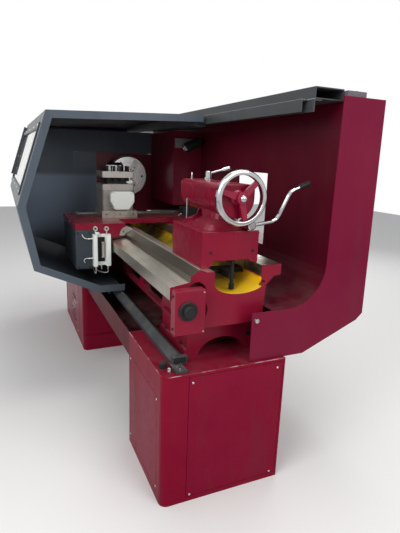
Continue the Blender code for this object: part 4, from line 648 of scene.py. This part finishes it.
# Carriage
# The saddle is a burgundy casting astride the bed with a ground dovetail for the cross slide; the apron
# below it is slate, painted darker than the door's slate as painted shade. Wipers scrape the ways, and
# ball oilers and banjo fittings feed oil.
saddle_enamel = painted("saddle_enamel", BURGUNDY)
dovetail = above(machine_spot(saddle_enamel)[2], 0.9403)
dovetail_iron = lay(saddle_enamel.node_tree, brushed_metal, Metal=(0.46, 0.44, 0.39),
                    Oil=(0.12, 0.085, 0.045), Grain_stretch=(260.0, 5.0, 260.0), Stain=0.5, Roughness=0.28,
                    Depth=0.1)
over(saddle_enamel, dovetail, dovetail_iron["Colour"])
over(saddle_enamel, dovetail, dovetail_iron["Roughness"], "Roughness", "FLOAT")
feed(saddle_enamel.node_tree.nodes["Principled BSDF"], Metallic=dovetail)
dress(saddle_enamel, "saddle")
# The apron's slate is about half as light as the door's: painted shade, for the apron hangs in shadow.
apron_enamel = painted("apron_enamel", (0.046, 0.056, 0.068), primer=(0.2, 0.2, 0.2), dust=0.2,
                       roughness=0.38, coat=0.0, gloss=0.12)
dress(apron_enamel, "apron")
dress(threaded("cross_screw_steel", "Y", place(1.28, 0.0, 0.944)), "x_screw")


def flat_piece(name, body, outline, along, depth, material, bevel=0.0008):
    """Plate whose outline of (from front, height) points lies across the bed, with eased edges."""
    grown = bmesh.new()
    near = [grown.verts.new(place(along, front, height)) for front, height in outline]
    far = [grown.verts.new(place(along + depth, front, height)) for front, height in outline]
    grown.faces.new(near)
    grown.faces.new(far)
    for index in range(len(outline)):
        follow = (index + 1) % len(outline)
        grown.faces.new((near[index], near[follow], far[follow], far[index]))
    bmesh.ops.bevel(grown, geom=list(grown.edges), offset=bevel, segments=2, affect="EDGES",
                    clamp_overlap=True)
    return finish_mesh(name, grown, body, material)


wiper_rubber = painted("wiper_rubber", (0.015, 0.015, 0.015), primer=(0.08, 0.07, 0.06), dust=0.4,
                       roughness=0.6, peel=0.4, coat=0.0)
bright_plate = metal("bright_plate", (0.68, 0.67, 0.64), (30.0, 220.0, 220.0), roughness=0.2, stain=0.2)
WIPER_END = 0.9745
RIDGE_PLATE_END = 0.9752
flat_piece("front_way_wiper", "carriage",
           [(0.0475, 0.8490), (0.1208, 0.8625), (0.1208, 0.8735), (0.0475, 0.8605)], WIPER_END, 0.0052,
           wiper_rubber)
flat_piece("rear_way_wiper", "carriage",
           [(0.4405, 0.9057), (0.505, 0.9057), (0.505, 0.9180), (0.4405, 0.9180)], 1.0145, 0.0052,
           wiper_rubber)
flat_piece("ridge_wiper_plate", "carriage",
           [(0.089, 0.877), (0.095, 0.899), (0.107, 0.9155), (0.124, 0.9225), (0.142, 0.9195),
            (0.156, 0.9115), (0.1575, 0.9060), (0.141, 0.8955), (0.1262, 0.8865), (0.1208, 0.8835),
            (0.1206, 0.8765), (0.104, 0.8745)], RIDGE_PLATE_END, 0.0045, bright_plate, 0.0006)
heads("wiper_screws", "carriage",
      facing(toward_end, [(RIDGE_PLATE_END, 0.110, 0.896), (WIPER_END, 0.058, 0.857),
                          (WIPER_END, 0.086, 0.862)]),
      0.0042, 0.003, cap_screw)

oiler_tree, oiler_given, oiler_result = new_group(
    "ball_oilers", "GeometryNodeTree",
    [("Points", "Geometry", None), ("Head radius", "Float", 0.004), ("Finish", "Material", None)],
    [("Oilers", "Geometry")])
collar_radius = oiler_given["Head radius"]
collar = node(oiler_tree, "GeometryNodeMeshCone", {"fill_type": "NGON"}, Vertices=18,
              Radius_Top=both(collar_radius, 0.7), Radius_Bottom=collar_radius, Depth=collar_radius)
ball = node(oiler_tree, "GeometryNodeMeshUVSphere", None, Segments=14, Rings=8,
            Radius=both(collar_radius, 0.55))
ball_lift = put(oiler_tree, "CombineXYZ", None, Z=both(collar_radius, 1.05)).outputs[0]
raised_ball = node(oiler_tree, "GeometryNodeTransform", None, Geometry=ball.outputs["Mesh"],
                   Translation=ball_lift)
collar_and_ball = oiler_tree.nodes.new("GeometryNodeJoinGeometry")
oiler_tree.links.new(raised_ball.outputs["Geometry"], collar_and_ball.inputs[0])
oiler_tree.links.new(collar.outputs["Mesh"], collar_and_ball.inputs[0])
all_oilers = set_on_points(oiler_tree, oiler_given, collar_and_ball.outputs["Geometry"])
make_real(oiler_tree, oiler_given, all_oilers, oiler_result)
ball_oiler = (oiler_tree, 0.0, bright_plate, "chrome")
SADDLE_FACE = 0.9395
oiler_spots = ((1.06, 0.535), (1.239, 0.528), (1.435, 0.542), (1.395, 0.37))
heads("saddle_oilers", "carriage", facing(straight_up, [(*spot, SADDLE_FACE) for spot in oiler_spots]),
      0.0055, 0.0, ball_oiler)
apron_spots = facing(toward_end, [(0.98, front, height) for front in (-0.128, -0.070)
                                  for height in (0.712, 0.895)])
apron_spots += facing(toward_front, [(end, -0.14, height) for end in (1.0, 1.40)
                                     for height in (0.72, 0.89)])
heads("apron_screws", "carriage", apron_spots, 0.0045, 0.003, cap_screw)

# Lubricator
# White moulded oiler on the saddle's end: two tanks with a sight tube between them, banjo fittings above,
# barbed nipples at its side and foot, and thin nylon lines that run back into the apron.
white_plastic = painted("white_plastic", (0.83, 0.86, 0.82), primer=(0.35, 0.33, 0.28), dust=0.25,
                        scuffs=0.45, roughness=0.38, peel=0.15, coat=0.1, gloss=0.4)
dress(white_plastic, "lubricator")

pipe_tree, pipe_given, pipe_result = new_group(
    "round_pipe", "GeometryNodeTree",
    [("Path", "Geometry", None), ("Pipe radius", "Float", 0.002), ("Sides", "Int", 10),
     ("Finish", "Material", None)], [("Pipe", "Geometry")])
pipe_path = node(pipe_tree, "GeometryNodeMeshToCurve", None, Mesh=pipe_given["Path"])
pipe_ring = node(pipe_tree, "GeometryNodeCurvePrimitiveCircle", None, Resolution=pipe_given["Sides"],
                 Radius=pipe_given["Pipe radius"])
swept = node(pipe_tree, "GeometryNodeCurveToMesh", None, Curve=pipe_path.outputs["Curve"],
             Profile_Curve=pipe_ring.outputs["Curve"], Fill_Caps=True)
make_real(pipe_tree, pipe_given, swept.outputs["Mesh"], pipe_result)


def eased(route, steps=7):
    """Round a chain of spots with a curve that passes through each of them."""
    spots = [Vector(spot) for spot in route]
    chain = [spots[0], *spots, spots[-1]]
    path = []
    for before, start, stop, after in zip(chain, chain[1:], chain[2:], chain[3:]):
        for step in range(steps):
            t = step / steps
            path.append(0.5 * (2 * start + (stop - before) * t
                               + (2 * before - 5 * start + 4 * stop - after) * t * t
                               + (3 * start - before - 3 * stop + after) * t * t * t))
    return path + [spots[-1]]


def pipe(name, body, route, radius, material, sides=10):
    """Sweep a round pipe of one body along a route of (from end, from front, height) spots."""
    data = bpy.data.meshes.new(name)
    data.from_pydata([tuple(place(*spot)) for spot in route], [(i, i + 1) for i in range(len(route) - 1)], [])
    piece = grow(name, data, pipe_tree, Pipe_radius=radius, Sides=sides, Finish=material)
    piece.data.shade_smooth()
    piece.data.set_sharp_from_angle(angle=math.radians(40))
    return fasten(piece, body)


BANJOS = ((-0.039, 0.9165), (0.019, 0.9150))
turned_piece("banjo_rings", "carriage",
             [(0.0, 0.0045), (0.0, 0.0115), (0.002, 0.0130), (0.007, 0.0130), (0.009, 0.0115),
              (0.009, 0.0045)],
             [place(0.9797, *banjo) for banjo in BANJOS], toward_end, bright_plate, closed=True)
heads("banjo_bolts", "carriage", facing(toward_end, [(0.9715, *banjo) for banjo in BANJOS]), 0.0062, 0.004,
      cap_screw, 0.55)
for number, (front, _) in enumerate(BANJOS, 1):
    pipe(f"banjo_line_{number}", "carriage",
         [(0.9755, front, 0.9045), (0.9745, front, 0.897), (0.968, front, 0.8885)], 0.0028, bright_plate)
turned_piece("oil_filler_cap", "carriage",
             [(0.0, 0.0), (0.0, 0.0095), (0.002, 0.0105), (0.004, 0.0095), (0.006, 0.0105), (0.008, 0.0095),
              (0.010, 0.0100), (0.0115, 0.0080), (0.0115, 0.0)],
             [place(0.962, -0.030, 0.8882)], straight_up, white_plastic)
sight_tube = painted("sight_tube", (0.34, 0.31, 0.24), primer=(0.2, 0.18, 0.14), dust=0.2, scuffs=0.3,
                     roughness=0.3, peel=0.1, coat=0.3, gloss=0.5)
turned_piece("oil_sight_tube", "carriage",
             [(0.0, 0.0), (0.0, 0.0092), (0.006, 0.0092), (0.007, 0.0078), (0.076, 0.0078), (0.077, 0.0092),
              (0.083, 0.0092), (0.083, 0.0)], [place(0.9632, -0.0012, 0.7640)], straight_up, sight_tube)
flat_piece("sight_tube_backing", "carriage",
           [(-0.0285, 0.740), (0.0085, 0.740), (0.0085, 0.872), (-0.0285, 0.872)], 0.9722, 0.0012,
           black_oxide, 0.0003)
turned_piece("oil_side_nipples", "carriage",
             [(0.0, 0.0), (0.0, 0.0065), (0.006, 0.0065), (0.0062, 0.0036), (0.014, 0.0036), (0.016, 0.0052),
              (0.019, 0.0034), (0.021, 0.0052), (0.025, 0.0028), (0.025, 0.0)],
             [place(0.962, -0.0551, height) for height in (0.866, 0.762)], toward_front, bright_plate)
turned_piece("oil_foot_nipples", "carriage",
             [(0.0, 0.0), (0.0, 0.0060), (0.007, 0.0060), (0.0072, 0.0036), (0.016, 0.0036), (0.018, 0.0050),
              (0.024, 0.0026), (0.024, 0.0)],
             [place(*spot, 0.7199) for spot in ((0.960, -0.042), (0.960, 0.022), (0.9735, -0.010))],
             -straight_up, bright_plate)
nylon = painted("nylon_line", (0.62, 0.61, 0.54), primer=(0.4, 0.38, 0.3), dust=0.1, scuffs=0.2,
                roughness=0.3, peel=0.05, coat=0.2, gloss=0.5)
oil_routes = {
    "oil_line_upper": [(0.962, -0.077, 0.866), (0.962, -0.092, 0.868), (0.9655, -0.103, 0.876),
                       (0.973, -0.106, 0.884), (0.9797, -0.106, 0.886)],
    "oil_line_lower": [(0.962, -0.077, 0.762), (0.962, -0.090, 0.763), (0.9635, -0.100, 0.757),
                       (0.966, -0.101, 0.745), (0.972, -0.095, 0.738), (0.9797, -0.093, 0.737)],
    "oil_foot_line_1": [(0.960, -0.042, 0.699), (0.960, -0.042, 0.688), (0.967, -0.042, 0.679),
                        (0.990, -0.042, 0.676), (1.030, -0.042, 0.684), (1.035, -0.042, 0.699)],
    "oil_foot_line_2": [(0.960, 0.022, 0.699), (0.960, 0.022, 0.688), (0.966, 0.018, 0.680),
                        (0.985, 0.002, 0.676), (1.020, -0.025, 0.682), (1.025, -0.028, 0.699)]}
for name, route in oil_routes.items():
    pipe(name, "carriage", eased(route), 0.0022, nylon)

# Cross slide and turret
# Ground steel slide, a cast turret base with an off-white motor cover, and a square four-way tool head of
# hardened steel clamped down by a domed chrome cap.
slide_steel = metal("slide_steel", (0.56, 0.53, 0.47), (260.0, 6.0, 260.0), roughness=0.28, stain=0.75)
dress(slide_steel, "cross_slide")
turret_grey = metal("turret_grey", (0.30, 0.29, 0.265), (30.0, 30.0, 140.0), roughness=0.42, stain=0.4,
                    metallic=0.7)
dress(turret_grey, "turret_base")
head_steel = metal("head_steel", (0.40, 0.38, 0.35), (140.0, 140.0, 30.0), roughness=0.30, stain=0.4)
height = machine_spot(head_steel)[2]
# Black on the head's top; in the slot between its plates a black band for the dark waist and bolts, with
# painted shade in the slot.
over(head_steel, either(above(height, 1.2023), between(height, 1.1314, 1.1677)), (0.020, 0.020, 0.021))
dress(head_steel, "turret_head")
bolt_spots = []
for side in range(4):
    turn = Matrix.Rotation(side * math.pi / 2, 3, "Z")
    for along in (-0.058, -0.019, 0.019, 0.058):
        if abs(along) < 0.05 or side % 2 == 0:
            bolt_spots.append((place(1.28, 0.135, 1.2256) + turn @ Vector((0.074, along, 0.0)), straight_up))
heads("turret_bolt_caps", "turret", bolt_spots, 0.0092, 0.0065, cap_screw)
gib_screw = (pan_screw[0], 0.3, black_oxide, "dark_steel")
heads("slide_gib_screws", "cross",
      facing(toward_end, [(1.19, front, 0.962) for front in (0.065, 0.145, 0.225)]), 0.0042, 0.002, gib_screw)

dress(white_plastic, "turret_motor_cover")
COVER_FACE = 1.1452
motor_cover = flat_piece(
    "motor_cover", "cross",
    [(0.108, 0.9922), (0.186, 0.9922), (0.193, 0.9980), (0.197, 1.0140), (0.207, 1.0270), (0.2178, 1.0320),
     (0.2178, 1.0790), (0.204, 1.0928), (0.098, 1.0928), (0.0842, 1.0790), (0.0842, 1.0320), (0.095, 1.0270),
     (0.102, 1.0140), (0.101, 0.9980)], COVER_FACE, 0.0443, white_plastic, 0.0030)
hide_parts("turret_motor_cover")
cover_spots = ((0.096, 1.038), (0.206, 1.038), (0.103, 1.083), (0.199, 1.083))
heads("motor_cover_screws", "cross", facing(toward_end, [(COVER_FACE, *spot) for spot in cover_spots]),
      0.0032, 0.0012, pan_screw)

chrome, chrome_tree, chrome_shader = bare_material("chrome_plate", Metallic=1.0)
smears = noise(object_place(chrome_tree), 30.0, 5.0, 0.6)
feed(chrome_shader, Base_Color=blend(spread(smears, 0.4, 0.8), (0.50, 0.49, 0.50), (0.40, 0.392, 0.40)),
     Roughness=spread(smears, 0.35, 0.75, 0.10, 0.23))
dress(chrome, "turret_cap")

# Tailstock
# Base box and barrel casting in burgundy enamel. The quill is ground steel, the handwheel a chromed rim on
# an enamelled spider, and the levers are chromed rods with black grips.
dress(burgundy_enamel, "tailstock_base", "tailstock_body")
dress(black_oxide, "clamp_stud")
spider_enamel = painted("spider_enamel", (0.26, 0.010, 0.032), dust=0.15, scuffs=0.4, roughness=0.2, coat=0.4)
dress(spider_enamel, "handwheel_spider")
dress(chrome, "handwheel_rim", "clamp_lever", "quill_lock_lever")
grip_plastic = painted("grip_plastic", (0.013, 0.013, 0.014), primer=(0.08, 0.08, 0.08), roughness=0.4,
                       peel=0.2, coat=0.0)
dress(grip_plastic, "clamp_grip")
turned_piece("tailstock_stop_rod", "tailstock",
             [(0.0, 0.0), (0.0, 0.0052), (0.004, 0.0052), (0.005, 0.0030), (0.0955, 0.0030), (0.0955, 0.0)],
             [place(0.432, 0.2495, 1.0303)], straight_up, chrome, 16)
BARREL_TOP = 1.205
turned_piece("barrel_pin", "tailstock",
             [(0.0, 0.0), (0.0, 0.0048), (0.003, 0.0048), (0.004, 0.0026), (0.025, 0.0026), (0.027, 0.0016),
              (0.027, 0.0)], [place(0.484, 0.290, BARREL_TOP)], straight_up, chrome, 16)
heads("tailstock_oilers", "tailstock",
      facing(straight_up, [(0.20, 0.316, BARREL_TOP), (0.43, 0.330, BARREL_TOP)]), 0.0048, 0.0, ball_oiler)
heads("tailstock_base_screws", "tailstock",
      facing(toward_end, [(0.126, front, 0.952) for front in (0.225, 0.405)]), 0.0060, 0.004, cap_screw)
turned_piece("wheel_nut", "handwheel",
             [(0.0, 0.0), (0.0, 0.0120), (0.003, 0.0125), (0.006, 0.0105), (0.008, 0.0070), (0.0085, 0.0)],
             [place(0.063, *SPINDLE_LINE)], toward_end, chrome)

# Rear guard, rail and duct
# Double-walled sheet guard in burgundy with a plain end plate; a dark open-ended rail along its top carries
# the door's track, with a slate cable duct behind.
inner_enamel = painted("inner_enamel", (0.088, 0.0045, 0.013), dust=0.2, roughness=0.36, coat=0.0, gloss=0.10)
dress(inner_enamel, "rear_guard")
plate_enamel = painted("plate_enamel", (0.165, 0.0070, 0.030), dust=0.2, roughness=0.28, coat=0.0, gloss=0.10)
dress(plate_enamel, "guard_end_plate")
plate_face = END_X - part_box("guard_end_plate")[1][0]
plate_bolt = (socket_tree, 0.55, chrome, "chrome")
heads("guard_plate_bolt", "frame", facing(toward_end, [(plate_face, 0.374, 0.706)]), 0.0105, 0.006,
      plate_bolt)
GUARD_LEAN = 0.0214
MIDDLE_ROW = 1.10
MIDDLE_ROW_ENDS = (0.05, 1.74, 2.29)
guard_spots = [(end, 0.895 - GUARD_LEAN * (height - 0.68), height)
               for end in (0.05, 0.60, 1.17, 1.74, 2.29) for height in (0.76, MIDDLE_ROW, 1.46)
               if height != MIDDLE_ROW or end in MIDDLE_ROW_ENDS]
heads("guard_back_screws", "frame", facing(Vector((0, 1, GUARD_LEAN)), guard_spots), 0.0050, 0.0014,
      pan_screw)

rail_paint = painted("rail_paint", (0.055, 0.058, 0.062), primer=(0.25, 0.25, 0.25), dust=0.6, scuffs=0.7,
                     roughness=0.42, peel=0.25, coat=0.05)
_, from_front, height = machine_spot(rail_paint)
lower_fold = both(between(height, 1.5138, 1.5160), below(from_front, 0.5775))
upper_fold = both(above(height, 1.5562), below(from_front, 0.578))
over(rail_paint, both(either(lower_fold, upper_fold), 0.85), (0.42, 0.41, 0.38))
dress(rail_paint, "top_rail", "door_track", "door_rail")
flat_piece("rail_end_plug", "frame", [(0.068, 0.5495), (0.118, 0.5495), (0.118, 0.5715), (0.068, 0.5715)],
           0.0747, 0.0013, belt_rubber, 0.0004)
foot_bolt = (head_tree("hexagon_bolts", 6, 6), 0.28, bright_plate, "chrome")
heads("rail_foot_bolts", "frame", facing(straight_up, [(end, 0.078, 0.5483) for end in (0.034, 0.058)]),
      0.0082, 0.0065, foot_bolt)
SPRING_RADIUS = 0.0052
SPRING_STEPS = 10
SPRING_PITCH = 0.0032
spring_route = [(0.036 - SPRING_RADIUS * math.cos(2 * math.pi * step / SPRING_STEPS),
                 0.036 + SPRING_RADIUS * math.sin(2 * math.pi * step / SPRING_STEPS),
                 0.5420 + SPRING_PITCH * step / SPRING_STEPS) for step in range(52)]
pipe("rail_foot_spring", "frame", spring_route, 0.0011, bright_plate, 6)
duct_enamel = painted("duct_enamel", (0.155, 0.135, 0.150), primer=(0.3, 0.3, 0.3), dust=0.4, roughness=0.4)
dress(duct_enamel, "cable_duct")
heads("duct_cover_screws", "frame",
      facing(straight_up, [(end, 0.765, 1.5520) for end in (0.055, 0.62, 1.20, 1.78, 2.22)]), 0.0085, 0.0045,
      cap_screw)

# Work lamp
# A black tube lamp on a grey cast bracket at the headstock corner. A chromed bezel holds its clear lens
# and turns with the lamp.
dress(grey_casting, "lamp_bracket")
dress(black_oxide, "lamp_barrel")
lens_glass, lens_tree, lens_shader = bare_material("lens_glass", Transmission_Weight=0.6, Roughness=0.1)
moulding = noise(object_place(lens_tree), 300.0)
feed(lens_shader, Base_Color=blend(moulding, (0.85, 0.87, 0.85), (0.7, 0.72, 0.72)))
dress(lens_glass, "lamp_lens")
lamp_aim = Vector((0.0, -0.12, -0.048)).normalized()
lens_low, lens_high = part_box("lamp_lens")
turned_piece("lamp_bezel", "lamp",
             [(-0.0010, 0.0224), (0.0020, 0.0224), (0.0042, 0.0230), (0.0052, 0.0252), (0.0050, 0.0276),
              (0.0042, 0.0282), (-0.0010, 0.0282)], [(lens_low + lens_high) / 2 + lamp_aim * 0.0046],
             lamp_aim, chrome, 32, closed=True)

# Sliding door
# Folded slate-grey sheet shell with a framed clear panel. It hangs on rollers in the track above and runs
# on a guide along the dark rail below.
DOOR_OUTLINE = ((0.522, 1.514), (-0.266, 1.482), (-0.411, 1.041), (-0.353, 0.730), (-0.038, 0.591),
                (0.097, 0.591))
DOOR_SHEET = 0.003
door_enamel = painted("door_enamel", (0.084, 0.103, 0.128), primer=(0.30, 0.30, 0.30), dust=0.2,
                      roughness=0.36, coat=0.02, gloss=0.12)
from_end, from_front, height = machine_spot(door_enamel)
inside = between(from_end, 0.9036, 2.3262)
for corner, following in zip(DOOR_OUTLINE, DOOR_OUTLINE[1:]):
    run = following[0] - corner[0]
    rise = following[1] - corner[1]
    reach = maths("ADD", both(from_front, -rise), both(height, run))
    sheet_middle = run * corner[1] - rise * corner[0] + DOOR_SHEET / 2 * math.hypot(run, rise)
    inside = both(inside, above(reach, sheet_middle))
# Inside the shell the roof is painted near-black as painted shade under it, and the lower fold darker for oil
# and painted shade.
over(door_enamel, both(inside, above(height, 1.44)), (0.020, 0.024, 0.030))
over(door_enamel, both(inside, below(height, 0.75)), (0.046, 0.055, 0.068))
over(door_enamel, inside, 0.92, "Roughness", "FLOAT")
dress(door_enamel, "sliding_door")
frame_paint = painted("frame_paint", (0.060, 0.066, 0.075), primer=(0.3, 0.3, 0.3), scuffs=0.6,
                      roughness=0.36)
dress(frame_paint, "window_frame", "door_pull", "door_hanger", "door_guide")

eave, elbow = (Vector(corner) for corner in DOOR_OUTLINE[1:3])
panel_fall = elbow - eave
panel_out = Vector((0.0, -0.950, 0.3124))


def on_panel(along, share):
    """Spot on the window frame's face, at a share of the sloping panel's height."""
    return place(along, *(eave + panel_fall * share)) + panel_out * 0.007, panel_out


frame_screw = (socket_tree, 0.5, zinc_screws, "chrome")
frame_spots = [on_panel(along, share) for share in (0.15, 0.86) for along in (1.012, 1.30, 1.61, 1.93, 2.218)]
frame_spots += [on_panel(along, 0.505) for along in (1.0, 2.23)]
heads("window_frame_screws", "door", frame_spots, 0.0052, 0.0026, frame_screw)
panel_glass, panel_tree, panel_shader = bare_material("panel_glass", Transmission_Weight=0.9, IOR=1.45)
haze = spread(noise(object_place(panel_tree), 6.0, 6.0), 0.4, 0.75)
feed(panel_shader, Base_Color=blend(haze, (0.86, 0.87, 0.84), (0.66, 0.63, 0.57)),
     Roughness=spread(haze, 0.0, 1.0, 0.01, 0.05))
dress(panel_glass, "door_window")
